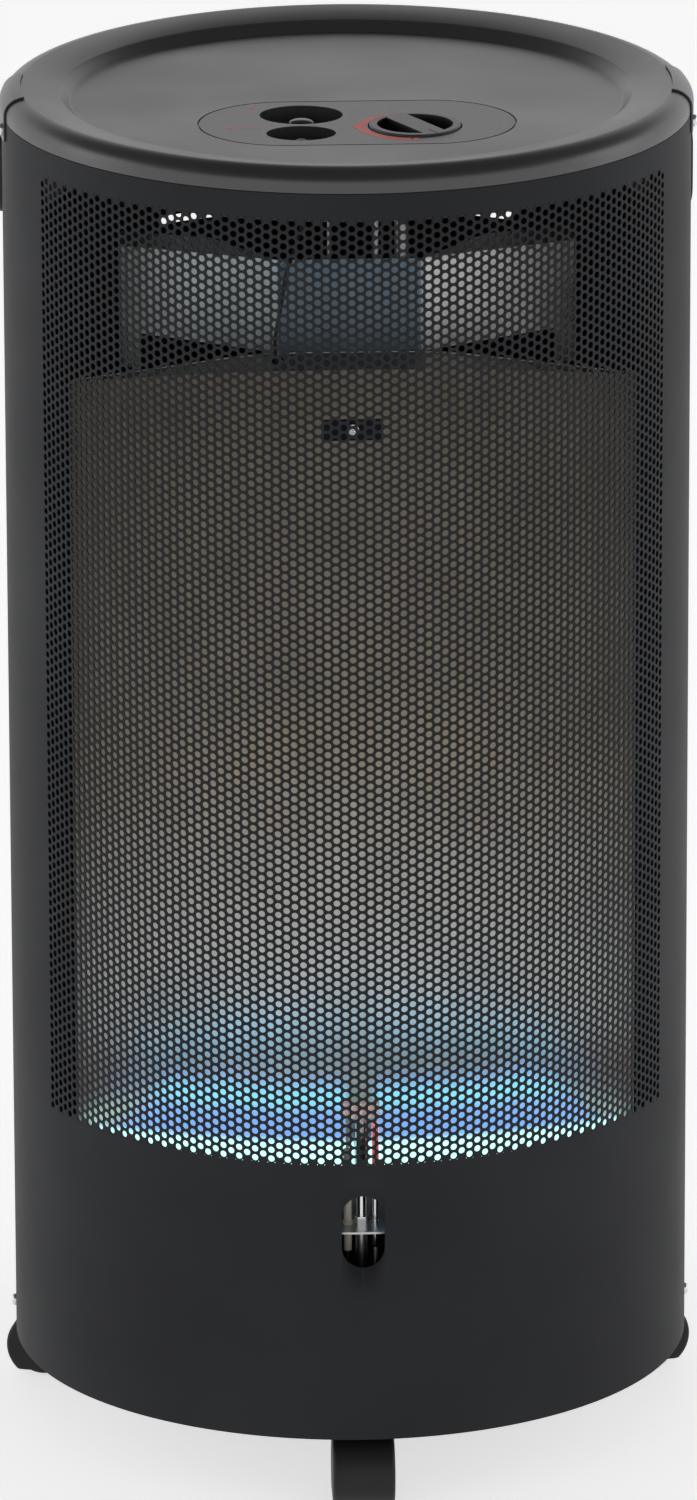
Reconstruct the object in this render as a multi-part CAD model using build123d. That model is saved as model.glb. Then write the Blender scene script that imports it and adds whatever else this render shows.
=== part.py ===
from build123d import *
from math import asin, cos, degrees, radians, sin, sqrt
import os

# Portable cylindrical gas cabinet heater. Millimetres, +Z up, front faces -Y.
# Origin: on the floor, under the centre of the cylinder.
# Azimuths are degrees from the front (-Y), positive towards +X.

# ---------------------------------------------------------------- driving sizes
CASE_R = 200.0  # outer radius of the cabinet
SKIN_T = 0.8  # sheet of shell, side panels and door
FLOOR_GAP = 42.0  # shell's lower edge above the floor
SHELL_H = 750.0  # shell's height up to the lid
SEAT_GAP = 0.3  # between curved faces that seat on each other
SCREW_GAP = 0.15  # round each screw

FRONT_EDGE_AZ = 92.0  # where the front shell ends on each side
DOOR_EDGE_AZ = 125.0  # where the rear door begins on each side
EDGE_GAP_AZ = 0.12  # half the gap between two neighbouring panels
RETURN_W = 12.0  # inward return along each vertical panel edge
RETURN_END = 2.0  # a return ends this far below the lid's skirt
DOOR_RETURN_END = 3.0  # the same at both ends of the door's returns
OVERCUT = 6.0  # how far a cutting shape reaches past a sheet

# perforated zone of the front shell, at a coarser pitch with the same open share
GRILLE_AZ = 65.5  # half the perforated angle
GRILLE_LOW = 170.0  # first hole's edge above the shell's lower edge
GRILLE_HIGH = 14.6  # last hole's edge below the lid
GRILLE_HOLE_R = 10.5
GRILLE_WEB = 7.2  # metal left between two neighbouring holes

# inspection slot below the grille
SLOT_W = 25.0
SLOT_H = 44.0
SLOT_UP = 128.7  # its centre above the shell's lower edge

# pressed lid
LID_T = 1.0
LID_SKIRT_H = 16.0
LID_BAND_H = 4.5  # upright band above the seam
LID_RISE = 14.0  # crest above the seam
LID_CREST_IN = 12.0  # crest's radius inside the cabinet's radius
LID_SLOPE_IN = 34.0  # inner end of the sloping rim inside the cabinet's radius
LID_SLOPE_DROP = 4.0
LID_WALL_IN = 40.0  # foot of the rim's inner wall inside the cabinet's radius
LID_DISH = 9.5  # flat top below the crest

# lid straps at the two sides
STRAP_T = 1.0
STRAP_AZ = 17.0  # angle that each strap covers
STRAP_DROP = 11.0  # below the seam
STRAP_SCREW_AZ = 6.6  # from the strap's middle
STRAP_SCREW_DROP = 5.0  # below the seam

# casing screws
SCREW_R = 2.0
SCREW_HEAD_R = 3.5
SCREW_HEAD_H = 2.3
SCREW_DOME = 0.7  # rounding of the head, as a share of its height
SCREW_L = 9.0
REAR_SCREW_IN = 5.0  # angle from the rear door's edge
BASE_SCREW_UP = 17.0  # lowest casing screws above the shell's lower edge

# base pan
BASE_T = 1.2
BASE_UP = 2.0  # underside of the pan above the shell's lower edge
BASE_RIM_H = 20.0

# side grips
GRIP_AZ = 106.5
GRIP_W = 88.0
GRIP_H = 50.0
GRIP_DROP = 42.0  # centre below the seam
GRIP_PROUD = 3.0
GRIP_LIP = 5.0  # flange round the recess
GRIP_WALL = 2.0
GRIP_DEPTH = 28.0
GRIP_CORNER = 14.0

# rear door and its hinges
HINGE_R = 3.5
HINGE_PIN_R = 1.5
HINGE_BORE_GAP = 0.05
HINGE_KNUCKLE_H = 12.0
HINGE_END_GAP = 0.3
HINGE_LEAF_T = 1.0
HINGE_LEAF_W = 17.0
HINGE_FROM_END = 120.0  # hinge centres from the door's ends
DOOR_BOTTOM_UP = 2.0
VENT_W_AZ = 26.0  # angle of one louvre slot
VENT_H = 5.0
VENT_PITCH = 11.0
VENT_ROWS = 6
VENT_AZ = 19.0  # middle of each slot column from the rear
VENT_LOW = 60.0
VENT_HIGH = 60.0
PULL_AZ = 136.0
PULL_W = 12.0
PULL_H = 70.0
PULL_OUT = 14.0
PULL_WALL = 4.0  # left round the finger hollow
MAGNET_W = 8.0
MAGNET_H = 40.0
MAGNET_D = 10.0

# bay partition, tray and reflector
PART_T = 0.8
PART_Y = -46.0  # front face of the partition
PART_SIDE_IN = 10.0  # its sides inside the cabinet's radius
PART_TOP_DROP = 135.0  # top of its middle tab below the seam
PART_TAB_H = 17.0  # tab above the shoulders beside it
PART_TAB_HALF_W = 46.0
ARM_TOP_DROP = 6.0  # side arms end this far below the seam
ARM_REAR_Y = 4.0
PIPE_HOLE = (-20.0, 44.0)
PIPE_HOLE_UP = (32.0, 82.0)  # above the shell's lower edge
TRAY_T = 1.2
TRAY_UP = 124.2  # tray's top above the shell's lower edge
TRAY_IN = 12.0  # tray's rim inside the cabinet's radius
TRAY_LIP = 12.0
TRAY_LIP_SHARE = 0.8  # share of the tray's width that its rear lip spans
REFL_T = 0.6
REFL_HALF_W = 163.0
REFL_MID_Y = -84.0
REFL_SAG = 17.0
REFL_FLANGE_HALF_W = 50.0
WINDOW_W = 34.0
WINDOW_H = 13.0
WINDOW_DROP = 36.0  # window's middle below the reflector's top
BRACKET_T = 1.0
BRACKET_W = 48.0
BRACKET_H = 24.0

# three-facet shield above the reflector
SHIELD_T = 0.8
SHIELD_MID_HALF_W = 42.0
SHIELD_HALF_W = 133.0
SHIELD_SWEEP = 37.0  # the outer ends lie this much further back
SHIELD_DROP = 79.0  # its top below the seam
SHIELD_LAP = 17.0  # overlap on the partition's face
SHIELD_LIP = 32.0  # top lip's depth at its outer end
SHIELD_LIP_MID = (81.0, 53.0)  # where its free edge bends: across, and back from the middle facet
SHIELD_LEG_W = 12.0  # leg at the outer end of each side facet
SHIELD_EDGE_RISE = 4.0  # lower edge of a side facet above the partition's tab, at the leg

# burner
BURNER_ARC_R = 339.0
BURNER_BACK = 24.0  # its middle line behind the pilot
BURNER_HALF_W = 148.0  # half its span across the cabinet
BURNER_W = 19.0
BURNER_H = 25.8
BURNER_WALL = 1.2
PORT_W = 1.6
PORT_L = 13.0
PORT_PITCH = 6.0
PORT_MID_GAP = 10.0  # no ports this near the middle
INJECTOR_X = 45.0
INJECTOR_R = 8.0
INJECTOR_H = 27.0

# pilot assembly, with heights from the tray's top
PILOT_IN = 16.0  # behind the tray's front rim
PILOT_R = 3.4
PILOT_H = 65.8
PILOT_HEAD_W = 21.0
PILOT_HEAD_D = 8.0
PILOT_HEAD_H = 9.0
PILOT_SLOT_W = 14.0  # flame slot in the back of the head
PILOT_SLOT_IN = 3.0  # wall left in front of it and floor left under it
PILOT_NUT_R = 4.6
PILOT_NUT_H = 5.0
FITTING_R = 3.75
FITTING_DROP = 36.2
ELECTRODE_X = -8.0
ELECTRODE_R = 2.4
ELECTRODE_DROP = 16.2
ELECTRODE_H = 45.8
ELECTRODE_WIRE_R = 0.9
SPARK_GAP = 2.0  # from the electrode's tip up to the pilot's head
THERMO_X = 8.2
THERMO_R = 2.2
THERMO_H = 61.8
THERMO_DROP = 14.2
COLLAR_WALL = 0.8  # collars on the tray round the electrode and the thermocouple
COLLAR_H = 2.0

# control panel
PANEL_X = 4.0
PANEL_Y = -55.5
PANEL_W = 183.0
PANEL_D = 100.0
PANEL_GAP = 0.6
PANEL_T = 4.0
PANEL_FLANGE = 4.0
PANEL_FLANGE_T = 3.0
WELL_WALL = 2.0
WELL_DEPTH = 11.0
UPPER_WELL = (-27.5, -36.0)
UPPER_WELL_SIZE = (48.0, 43.0)
LOWER_WELL = (-29.0, -78.0)
LOWER_WELL_SIZE = (40.0, 33.0)
KNOB_AT = (37.0, -63.5)
KNOB_R = 26.5
KNOB_GAP = 0.7
KNOB_PROUD = 1.2
KNOB_EDGE_R = 1.0
KNOB_RIM = 4.6
KNOB_BAR_W = 14.0
KNOB_DEPTH = 9.0
KNOB_ANGLE = -62.0  # direction of the grip bar, from +X
KNOB_FLOOR = 2.0
SHAFT_R = 3.0
SHAFT_GAP = 0.05
POST_R = 4.0
POST_IN = 16.0
IGNITER_R = 7.5
IGNITER_PROUD = 7.5  # above the well's floor
IGNITER_TRAVEL = 5.0
START_R = 4.5
START_PROUD = 6.5
START_TRAVEL = 4.0
BUTTON_GAP = 0.3
BUTTON_DOME = 0.25  # rounding of the caps, as a share of their radius
SHAFT_IN_VALVE = 9.0
STEM_R = 2.0
STEM_L = 12.0

# parts under the panel
VALVE_BRACKET_T = 1.2
VALVE_BRACKET_DROP = 16.7  # its top face below the flat top
VALVE_X = (-42.0, 60.0)
VALVE_Y = (-90.0, -52.0)
VALVE_H = 28.0
VALVE_BOSS_R = 11.2
VALVE_BOSS_L = 8.0
PIEZO_R = 8.8
PIEZO_H = 44.0
NOZZLE_R = 6.0
NOZZLE_BARB_R = 5.0
NOZZLE_L = 30.0

# pipes and leads
PIPE_BEND = 10.0
PIPE_RUN_Y = -40.0  # where the pipes run down behind the partition
MAIN_PIPE_R = 4.0
PILOT_PIPE_R = 2.0
LEAD_R = 1.25
WIRE_R = 1.1
MAIN_PIPE_X = 30.0
PILOT_PIPE_X = 15.0
LEAD_X = -12.0
MAIN_PIPE_DROP = 56.2  # lowest run of each below the tray's top
PILOT_PIPE_DROP = 81.2
LEAD_DROP = 69.2
WIRE_DROP = 26.2
WIRE_X = -43.0
WIRE_Y = -66.0
WIRE_ABOVE_Y = -60.0  # just above the reflector's flange
WIRE_ROOM = 4.0  # notch round the wire in the reflector's flange
WIRE_LEAD = 9.5  # straight out of the spark module
WIRE_BEND = 11.5
WIRE_TRAY_BEND = 20.0  # where it turns forward under the tray
WIRE_END_BEND = 8.0  # where it turns up to the electrode

# casters
CASTER_IN = 32.0  # swivel axes inside the cabinet's radius
CASTER_AZ = {"front": 0.0, "right": 103.4, "rear": 180.0, "left": -103.4}
WHEEL_R = 18.5
WHEEL_T = 9.0
WHEEL_IN = 5.0  # inner face from the caster's middle plane
WHEEL_EDGE_R = 1.2
CASTER_TRAIL = 18.5
HOOD_HALF_W = 18.2
HOOD_WALL = 1.8
HOOD_EDGE_R = 2.7
HOOD_CLEAR = 0.9
HOOD_BOTTOM = 3.5
WEB_HALF_W = 4.7
AXLE_R = 2.5
AXLE_GAP = 0.05
SWIVEL_R = 3.0
SWIVEL_GAP = 0.05
SWIVEL_LOW = 22.0
CASTER_PLATE_R = 16.0
CASTER_PLATE_T = 2.0
HOOD_TOP_GAP = 0.6
HOOD_BOSS_R = 8.0
STUD_R = 4.0
STUD_H = 3.2  # above the plate
RING_R = 7.0  # push-on ring that holds each stud
RING_T = 1.5

# ---------------------------------------------------------------- derived sizes
SHELL_LOW = FLOOR_GAP
SEAM_Z = FLOOR_GAP + SHELL_H
SKIN_R = CASE_R - SKIN_T
BASE_LOW = SHELL_LOW + BASE_UP
BASE_TOP = BASE_LOW + BASE_T
CREST_Z = SEAM_Z + LID_RISE
TOP_Z = CREST_Z - LID_DISH
LID_UNDER = TOP_Z - LID_T
SKIRT_R = SKIN_R - SEAT_GAP
STRAP_SCREW_Z = SEAM_Z - STRAP_SCREW_DROP
BASE_SCREW_Z = SHELL_LOW + BASE_SCREW_UP
WELL_FLOOR = TOP_Z - WELL_DEPTH
WELL_UNDER = WELL_FLOOR - WELL_WALL
BRACKET_TOP = TOP_Z - VALVE_BRACKET_DROP
VALVE_TOP = BRACKET_TOP - VALVE_BRACKET_T
VALVE_LOW = VALVE_TOP - VALVE_H
VALVE_PORT_Z = VALVE_TOP - VALVE_H / 2
START_STEM_LOW = WELL_UNDER - STEM_L
PART_HALF_W = CASE_R - PART_SIDE_IN
PART_TOP = SEAM_Z - PART_TOP_DROP
PART_SHOULDER = PART_TOP - PART_TAB_H
WINDOW_Z = PART_TOP - WINDOW_DROP
SHIELD_TOP = SEAM_Z - SHIELD_DROP
TRAY_TOP = SHELL_LOW + TRAY_UP
TRAY_R = CASE_R - TRAY_IN
BURNER_TOP = TRAY_TOP + BURNER_H
PILOT_Y = PILOT_IN - TRAY_R
PILOT_TOP = TRAY_TOP + PILOT_H
FITTING_BOTTOM = TRAY_TOP - FITTING_DROP
ELECTRODE_LOW = TRAY_TOP - ELECTRODE_DROP
ELECTRODE_HIGH = TRAY_TOP + ELECTRODE_H
THERMO_LOW = TRAY_TOP - THERMO_DROP
THERMO_TIP = TRAY_TOP + THERMO_H
MAIN_PIPE_LOW = TRAY_TOP - MAIN_PIPE_DROP
PILOT_PIPE_LOW = TRAY_TOP - PILOT_PIPE_DROP
LEAD_LOW = TRAY_TOP - LEAD_DROP
WIRE_LOW = TRAY_TOP - WIRE_DROP
BURNER_MID_Y = PILOT_Y + BURNER_BACK
BURNER_CY = BURNER_MID_Y + BURNER_ARC_R
BURNER_AZ = degrees(asin(BURNER_HALF_W / BURNER_ARC_R))
REFL_ARC_R = (REFL_HALF_W**2 + REFL_SAG**2) / (2 * REFL_SAG)
HINGE_AXIS_R = CASE_R + SEAT_GAP + HINGE_R
CASTER_PCR = CASE_R - CASTER_IN
CASTER_PLATE_LOW = BASE_LOW - CASTER_PLATE_T
HINGE_Z = [SHELL_LOW + HINGE_FROM_END, SEAM_Z - HINGE_FROM_END]


# ---------------------------------------------------------------- helpers
def polar(radius, azimuth):
    """The point at this radius and azimuth."""
    return (radius * sin(radians(azimuth)), -radius * cos(radians(azimuth)))


def sector(r_in, r_out, az0, az1, z0, z1):
    """An upright piece of ring between two radii, azimuths and heights."""
    middle = (az0 + az1) / 2
    outer = ThreePointArc(polar(r_out, az0), polar(r_out, middle), polar(r_out, az1))
    inner = ThreePointArc(polar(r_in, az1), polar(r_in, middle), polar(r_in, az0))
    face = make_face([outer, Line(outer @ 1, inner @ 0), inner, Line(inner @ 1, outer @ 0)])
    return Pos(0, 0, z0) * extrude(face, amount=z1 - z0)


def block(x0, x1, y0, y1, z0, z1):
    """A box between two corners."""
    centre = Pos((x0 + x1) / 2, (y0 + y1) / 2, (z0 + z1) / 2)
    return centre * Box(x1 - x0, y1 - y0, z1 - z0)


def post(x, y, radius, z0, z1):
    """An upright cylinder."""
    return Pos(x, y, (z0 + z1) / 2) * Cylinder(radius, z1 - z0)


def raised(sketch, z0, z1):
    """A flat outline drawn out between two heights."""
    return Pos(0, 0, z0) * extrude(sketch, amount=z1 - z0)


def at_azimuth(shape, azimuth):
    """Turns a shape built at the front to this azimuth."""
    return Rot(Z=azimuth) * shape


def along_radius(radius, length, r_out, azimuth, z):
    """A cylinder that points outwards and ends at the radius r_out."""
    lying = Pos(0, -(r_out - length / 2), z) * Rot(X=90) * Cylinder(radius, length)
    return at_azimuth(lying, azimuth)


def stadium(width, depth):
    """An oblong with round ends, wider than deep."""
    return SlotOverall(width, depth)


def tube(points, radius, bends):
    """A round rod along straight runs with round bends."""
    path = FilletPolyline(*points, radius=bends)
    start = Plane(origin=path @ 0, z_dir=path % 0)
    return sweep(start * Circle(radius), path=path)


def spun(outline):
    """A closed outline in radius and height, turned round the axis."""
    return revolve(Plane.XZ * outline, Axis.Z)


def save(name, *solids):
    """Writes one node, which may hold several solids."""
    shape = solids[0] if len(solids) == 1 else Compound(children=list(solids))
    shape.label = name
    export_step(shape, f"parts/{name}.step")


# ---------------------------------------------------------------- casing screws
def screw(azimuth, z, seat_r):
    """A round-head screw whose head sits on the radius seat_r."""
    shank = along_radius(SCREW_R, SCREW_L, seat_r, azimuth, z)
    head = along_radius(SCREW_HEAD_R, SCREW_HEAD_H, seat_r + SCREW_HEAD_H, azimuth, z)
    rim = head.edges().filter_by(GeomType.CIRCLE).sort_by_distance((0, 0, z))[-1]
    return shank + fillet(rim, SCREW_HEAD_H * SCREW_DOME)


def screw_hole(azimuth, z):
    """The clearance of one casing screw through every sheet."""
    return along_radius(SCREW_R + SCREW_GAP, SCREW_L * 2, CASE_R + SCREW_L, azimuth, z)


STRAP_SCREWS = [side * 90 + turn for side in (-1, 1) for turn in (-STRAP_SCREW_AZ, STRAP_SCREW_AZ)]
BASE_SCREWS = [-90.0, 90.0]
REAR_SCREWS = [-DOOR_EDGE_AZ + REAR_SCREW_IN, DOOR_EDGE_AZ - REAR_SCREW_IN]


def screw_places():
    """Azimuth, height and seat radius of each casing screw."""
    strap_seat = CASE_R + SEAT_GAP + STRAP_T
    places = [(az, STRAP_SCREW_Z, strap_seat) for az in STRAP_SCREWS]
    places += [(az, BASE_SCREW_Z, CASE_R) for az in BASE_SCREWS]
    places += [(az, z, CASE_R) for az in REAR_SCREWS for z in (BASE_SCREW_Z, STRAP_SCREW_Z)]
    return places


SCREW_HOLES = [screw_hole(az, z) for az, z, seat in screw_places()]


# ---------------------------------------------------------------- casing
def grille_holes():
    """Round holes on a hexagonal lattice over the perforated zone."""
    pitch = 2 * GRILLE_HOLE_R + GRILLE_WEB
    half_arc = CASE_R * radians(GRILLE_AZ) - GRILLE_HOLE_R
    columns = int(2 * half_arc / (pitch * sqrt(3) / 2))
    column_az = 2 * degrees(half_arc / CASE_R) / columns
    low = SHELL_LOW + GRILLE_LOW + GRILLE_HOLE_R
    high = SEAM_Z - GRILLE_HIGH - GRILLE_HOLE_R
    rows = int((high - low) / pitch)
    row_pitch = (high - low) / (rows + 0.5)
    holes = []
    for column in range(columns + 1):
        azimuth = (column - columns / 2) * column_az
        start = low + (column % 2) * row_pitch / 2
        holes += [
            along_radius(GRILLE_HOLE_R, 2 * OVERCUT, CASE_R + OVERCUT, azimuth, start + row * row_pitch)
            for row in range(rows + 1)
        ]
    return holes


def front_shell():
    edge = FRONT_EDGE_AZ - EDGE_GAP_AZ
    shell = sector(SKIN_R, CASE_R, -edge, edge, SHELL_LOW, SEAM_Z)
    thin = degrees(SKIN_T / CASE_R)
    z0, z1 = BASE_TOP + BASE_RIM_H, SEAM_Z - LID_SKIRT_H - RETURN_END
    for side in (-1, 1):
        shell += sector(SKIN_R - RETURN_W, SKIN_R, *sorted((side * edge, side * (edge - thin))), z0, z1)
    slot = Plane.XZ * SlotOverall(SLOT_H, SLOT_W, rotation=90)
    slot = Pos(0, -CASE_R + OVERCUT, SHELL_LOW + SLOT_UP) * extrude(slot, amount=2 * OVERCUT)
    return shell - grille_holes() - slot - SCREW_HOLES


def grip_opening(side, growth):
    """The rounded opening of a side grip, drawn right through the panel."""
    face = RectangleRounded(
        GRIP_W - 2 * GRIP_LIP + growth, GRIP_H - 2 * GRIP_LIP + growth, GRIP_CORNER - GRIP_LIP + growth / 2
    )
    prism = Pos(0, -CASE_R + GRIP_DEPTH / 2, SEAM_Z - GRIP_DROP) * extrude(Plane.XZ * face, amount=GRIP_DEPTH)
    return at_azimuth(prism, side * GRIP_AZ)


def side_panel(side):
    """A quarter panel between the front shell and the rear door."""
    front = FRONT_EDGE_AZ + EDGE_GAP_AZ
    rear = DOOR_EDGE_AZ - EDGE_GAP_AZ
    thin = degrees(SKIN_T / CASE_R)
    z0, z1 = BASE_TOP + BASE_RIM_H, SEAM_Z - LID_SKIRT_H - RETURN_END
    panel = sector(SKIN_R, CASE_R, *sorted((side * front, side * rear)), SHELL_LOW, SEAM_Z)
    panel += sector(SKIN_R - RETURN_W, SKIN_R, *sorted((side * front, side * (front + thin))), z0, z1)
    panel += sector(SKIN_R - RETURN_W, SKIN_R, *sorted((side * rear, side * (rear - thin))), z0, z1)
    return panel - grip_opening(side, 2 * SEAT_GAP) - SCREW_HOLES


def side_grip(side):
    """A flanged finger recess that is pressed into the side panel."""
    z = SEAM_Z - GRIP_DROP
    outline = RectangleRounded(GRIP_W, GRIP_H, GRIP_CORNER)
    prism = Pos(0, -CASE_R + GRIP_DEPTH, z) * extrude(Plane.XZ * outline, amount=2 * GRIP_DEPTH)
    ring = sector(CASE_R + SEAT_GAP, CASE_R + GRIP_PROUD, -30, 30, z - GRIP_H, z + GRIP_H)
    flange = ring & prism
    cup = RectangleRounded(GRIP_W - 2 * GRIP_LIP, GRIP_H - 2 * GRIP_LIP, GRIP_CORNER - GRIP_LIP)
    cup_y = -CASE_R + GRIP_DEPTH
    sleeve = Pos(0, cup_y, z) * extrude(Plane.XZ * cup, amount=GRIP_DEPTH + GRIP_PROUD)
    sleeve = sleeve & sector(CASE_R - 2 * GRIP_DEPTH, CASE_R + GRIP_PROUD, -30, 30, z - GRIP_H, z + GRIP_H)
    hollow = RectangleRounded(
        GRIP_W - 2 * GRIP_LIP - 2 * GRIP_WALL,
        GRIP_H - 2 * GRIP_LIP - 2 * GRIP_WALL,
        GRIP_CORNER - GRIP_LIP - GRIP_WALL,
    )
    space = Pos(0, cup_y - GRIP_WALL, z) * extrude(Plane.XZ * hollow, amount=GRIP_DEPTH + 20)
    return at_azimuth(flange + sleeve - space, side * GRIP_AZ)


def lid_skin(lift):
    """The region under the lid's upper outline, raised by lift, down to the seam."""
    shoulder_z = SEAM_Z + LID_BAND_H
    crest = (CASE_R - LID_CREST_IN, CREST_Z + lift)
    slope_end = (CASE_R - LID_SLOPE_IN, CREST_Z - LID_SLOPE_DROP + lift)
    foot = (CASE_R - LID_WALL_IN, TOP_Z + lift)
    rise = CREST_Z - shoulder_z + lift
    centre = (crest[0], shoulder_z)
    shoulder = EllipticalCenterArc(centre, LID_CREST_IN + lift, rise, start_angle=0, arc_size=90)
    slope = TangentArc(crest, slope_end, tangent=(-1, 0))
    side_r = CASE_R + lift
    corners = [slope_end, foot, (0, TOP_Z + lift), (0, SEAM_Z), (side_r, SEAM_Z), (side_r, shoulder_z)]
    return make_face([shoulder, slope] + [Line(a, b) for a, b in zip(corners, corners[1:])])


def panel_place(z):
    return Pos(PANEL_X, PANEL_Y, z)


def top_lid():
    """The pressed lid: skirt, seam band, rounded rim and dished flat top."""
    shape = spun(lid_skin(0)) - spun(lid_skin(-LID_T))
    skirt_low = SEAM_Z - LID_SKIRT_H
    band = post(0, 0, CASE_R - LID_T / 2, SEAM_Z, SEAM_Z + LID_BAND_H)
    skirt = post(0, 0, SKIRT_R, skirt_low, SEAM_Z + LID_BAND_H)
    collar = band + skirt - post(0, 0, SKIRT_R - LID_T, skirt_low - 1, SEAM_Z + LID_BAND_H + 1)
    opening = panel_place(LID_UNDER - 5) * extrude(stadium(PANEL_W, PANEL_D), amount=20)
    return shape + collar - opening - SCREW_HOLES


def lid_strap(side):
    """A strap over the lid's shoulder that ties the lid to the casing."""
    over = spun(lid_skin(SEAT_GAP + STRAP_T)) - spun(lid_skin(SEAT_GAP))
    over -= post(0, 0, CASE_R - LID_CREST_IN + 1, 0, CREST_Z + 10)
    over -= post(0, 0, CASE_R + 5, 0, SEAM_Z + 1)
    low = SEAM_Z - STRAP_DROP
    reach = CASE_R + SEAT_GAP
    over += post(0, 0, reach + STRAP_T, low, SEAM_Z + 1) - post(0, 0, reach, low, SEAM_Z + 1)
    wedge = sector(CASE_R / 2, CASE_R + 10, -STRAP_AZ / 2, STRAP_AZ / 2, low - 1, CREST_Z + 5)
    return (over & at_azimuth(wedge, side * 90)) - SCREW_HOLES


def base_plate():
    """The round pan that carries everything."""
    pan = post(0, 0, SKIRT_R, BASE_LOW, BASE_TOP + BASE_RIM_H)
    pan -= post(0, 0, SKIRT_R - BASE_T, BASE_TOP, BASE_TOP + BASE_RIM_H + 1)
    studs = [post(*polar(CASTER_PCR, az), STUD_R + SCREW_GAP, 0, BASE_TOP + 1) for az in CASTER_AZ.values()]
    return pan - studs - SCREW_HOLES


# ---------------------------------------------------------------- rear door
def rear_door():
    edge = 180 - DOOR_EDGE_AZ - EDGE_GAP_AZ
    thin = degrees(SKIN_T / CASE_R)
    low = SHELL_LOW + DOOR_BOTTOM_UP
    z0, z1 = BASE_TOP + BASE_RIM_H + DOOR_RETURN_END, SEAM_Z - LID_SKIRT_H - DOOR_RETURN_END
    door = sector(SKIN_R, CASE_R, 180 - edge, 180 + edge, low, SEAM_Z - SEAT_GAP)
    for side in (-1, 1):
        span = sorted((180 + side * edge, 180 + side * (edge - thin)))
        door += sector(SKIN_R - RETURN_W, SKIN_R, *span, z0, z1)
    vents = []
    for row in range(VENT_ROWS):
        for z in (low + VENT_LOW + row * VENT_PITCH, SEAM_Z - VENT_HIGH - row * VENT_PITCH):
            for side in (-1, 1):
                middle = 180 + side * VENT_AZ
                span = (middle - VENT_W_AZ / 2, middle + VENT_W_AZ / 2)
                vents.append(sector(SKIN_R - OVERCUT, CASE_R + OVERCUT, *span, z, z + VENT_H))
    return door - vents


def hinge_frame(shape):
    """Places a shape drawn beside the axis x = 0, y = 0, with +X towards the door, at the hinge."""
    x, y = polar(HINGE_AXIS_R, -DOOR_EDGE_AZ)
    return Pos(x, y, 0) * Rot(Z=180 - DOOR_EDGE_AZ) * shape


def hinge_knuckle(z, height):
    ring = post(0, 0, HINGE_R, z - height / 2, z + height / 2)
    return ring - post(0, 0, HINGE_PIN_R + HINGE_BORE_GAP, z - height, z + height)


def hinge_leaf(z, height, towards):
    """A knuckle with a flat leaf along the panel, towards the door (+1) or away from it (-1)."""
    inner = CASE_R + SEAT_GAP - HINGE_AXIS_R
    span = sorted((0, towards * HINGE_LEAF_W))
    leaf = block(*span, inner, inner + HINGE_LEAF_T, z - height / 2, z + height / 2)
    leaf -= post(0, 0, HINGE_PIN_R + HINGE_BORE_GAP, z - height, z + height)
    return leaf + hinge_knuckle(z, height)


def hinge_moving():
    """The two door leaves, each with a knuckle above and below the fixed one."""
    leaves = []
    for z in HINGE_Z:
        leaf = hinge_leaf(z, 3 * HINGE_KNUCKLE_H, 1)
        gap = HINGE_KNUCKLE_H / 2 + HINGE_END_GAP
        leaf -= block(-HINGE_R - 1, HINGE_R + 1, -HINGE_R - 1, HINGE_R + 1, z - gap, z + gap)
        leaves.append(hinge_frame(leaf))
    return leaves


def hinge_fixed():
    """The two side panel leaves, each with one middle knuckle."""
    leaves = []
    for z in HINGE_Z:
        leaf = hinge_leaf(z, 3 * HINGE_KNUCKLE_H, -1)
        reach = HINGE_KNUCKLE_H / 2
        for low, high in ((z - 3 * reach - 1, z - reach), (z + reach, z + 3 * reach + 1)):
            leaf -= block(-HINGE_R - 1, HINGE_R + 1, -HINGE_R - 1, HINGE_R + 1, low, high)
        leaves.append(hinge_frame(leaf))
    return leaves


def hinge_pins():
    half = 1.5 * HINGE_KNUCKLE_H
    pins = []
    for z in HINGE_Z:
        pin = post(0, 0, HINGE_PIN_R, z - half, z + half)
        head = post(0, 0, HINGE_R - HINGE_END_GAP, z + half, z + half + HINGE_LEAF_T)
        pins.append(hinge_frame(pin + head))
    return pins


def door_pull():
    """A small moulded handle near the door's free edge."""
    z = (SHELL_LOW + SEAM_Z) / 2
    seat = CASE_R + SEAT_GAP
    grip = block(-PULL_W / 2, PULL_W / 2, -seat - PULL_OUT, -seat, z - PULL_H / 2, z + PULL_H / 2)
    y0, y1 = -seat - PULL_OUT + PULL_WALL, -seat - PULL_WALL
    under = block(-PULL_W, 0, y0, y1, z - PULL_H / 2 + PULL_WALL, z + PULL_H / 2 - PULL_WALL)
    outer = grip.edges().filter_by(Axis.X).group_by(Axis.Y)[0]
    return at_azimuth(fillet(outer, PULL_W / 3) - under, PULL_AZ)


def door_magnets():
    """Two catches inside the side panel's rear return."""
    tip = SKIN_R - RETURN_W - SEAT_GAP
    blocks = []
    for z in HINGE_Z:
        body = block(-MAGNET_W / 2, MAGNET_W / 2, -tip, -tip + MAGNET_D, z - MAGNET_H / 2, z + MAGNET_H / 2)
        blocks.append(at_azimuth(body, DOOR_EDGE_AZ))
    return blocks


# ---------------------------------------------------------------- inner sheets
def bay_partition():
    """Sheet wall in front of the bottle bay, with an arm up each side."""
    back = PART_Y + PART_T
    wall = block(-PART_HALF_W, PART_HALF_W, PART_Y, back, BASE_TOP, PART_SHOULDER)
    wall += block(-PART_TAB_HALF_W, PART_TAB_HALF_W, PART_Y, back, PART_SHOULDER, PART_TOP)
    for side in (-1, 1):
        span = sorted((side * PART_HALF_W, side * (PART_HALF_W - PART_T)))
        wall += block(*span, PART_Y, ARM_REAR_Y, BASE_TOP, SEAM_Z - ARM_TOP_DROP)
    hole_z = [SHELL_LOW + up for up in PIPE_HOLE_UP]
    return wall - block(*PIPE_HOLE, PART_Y - 1, back + 1, *hole_z)


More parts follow.
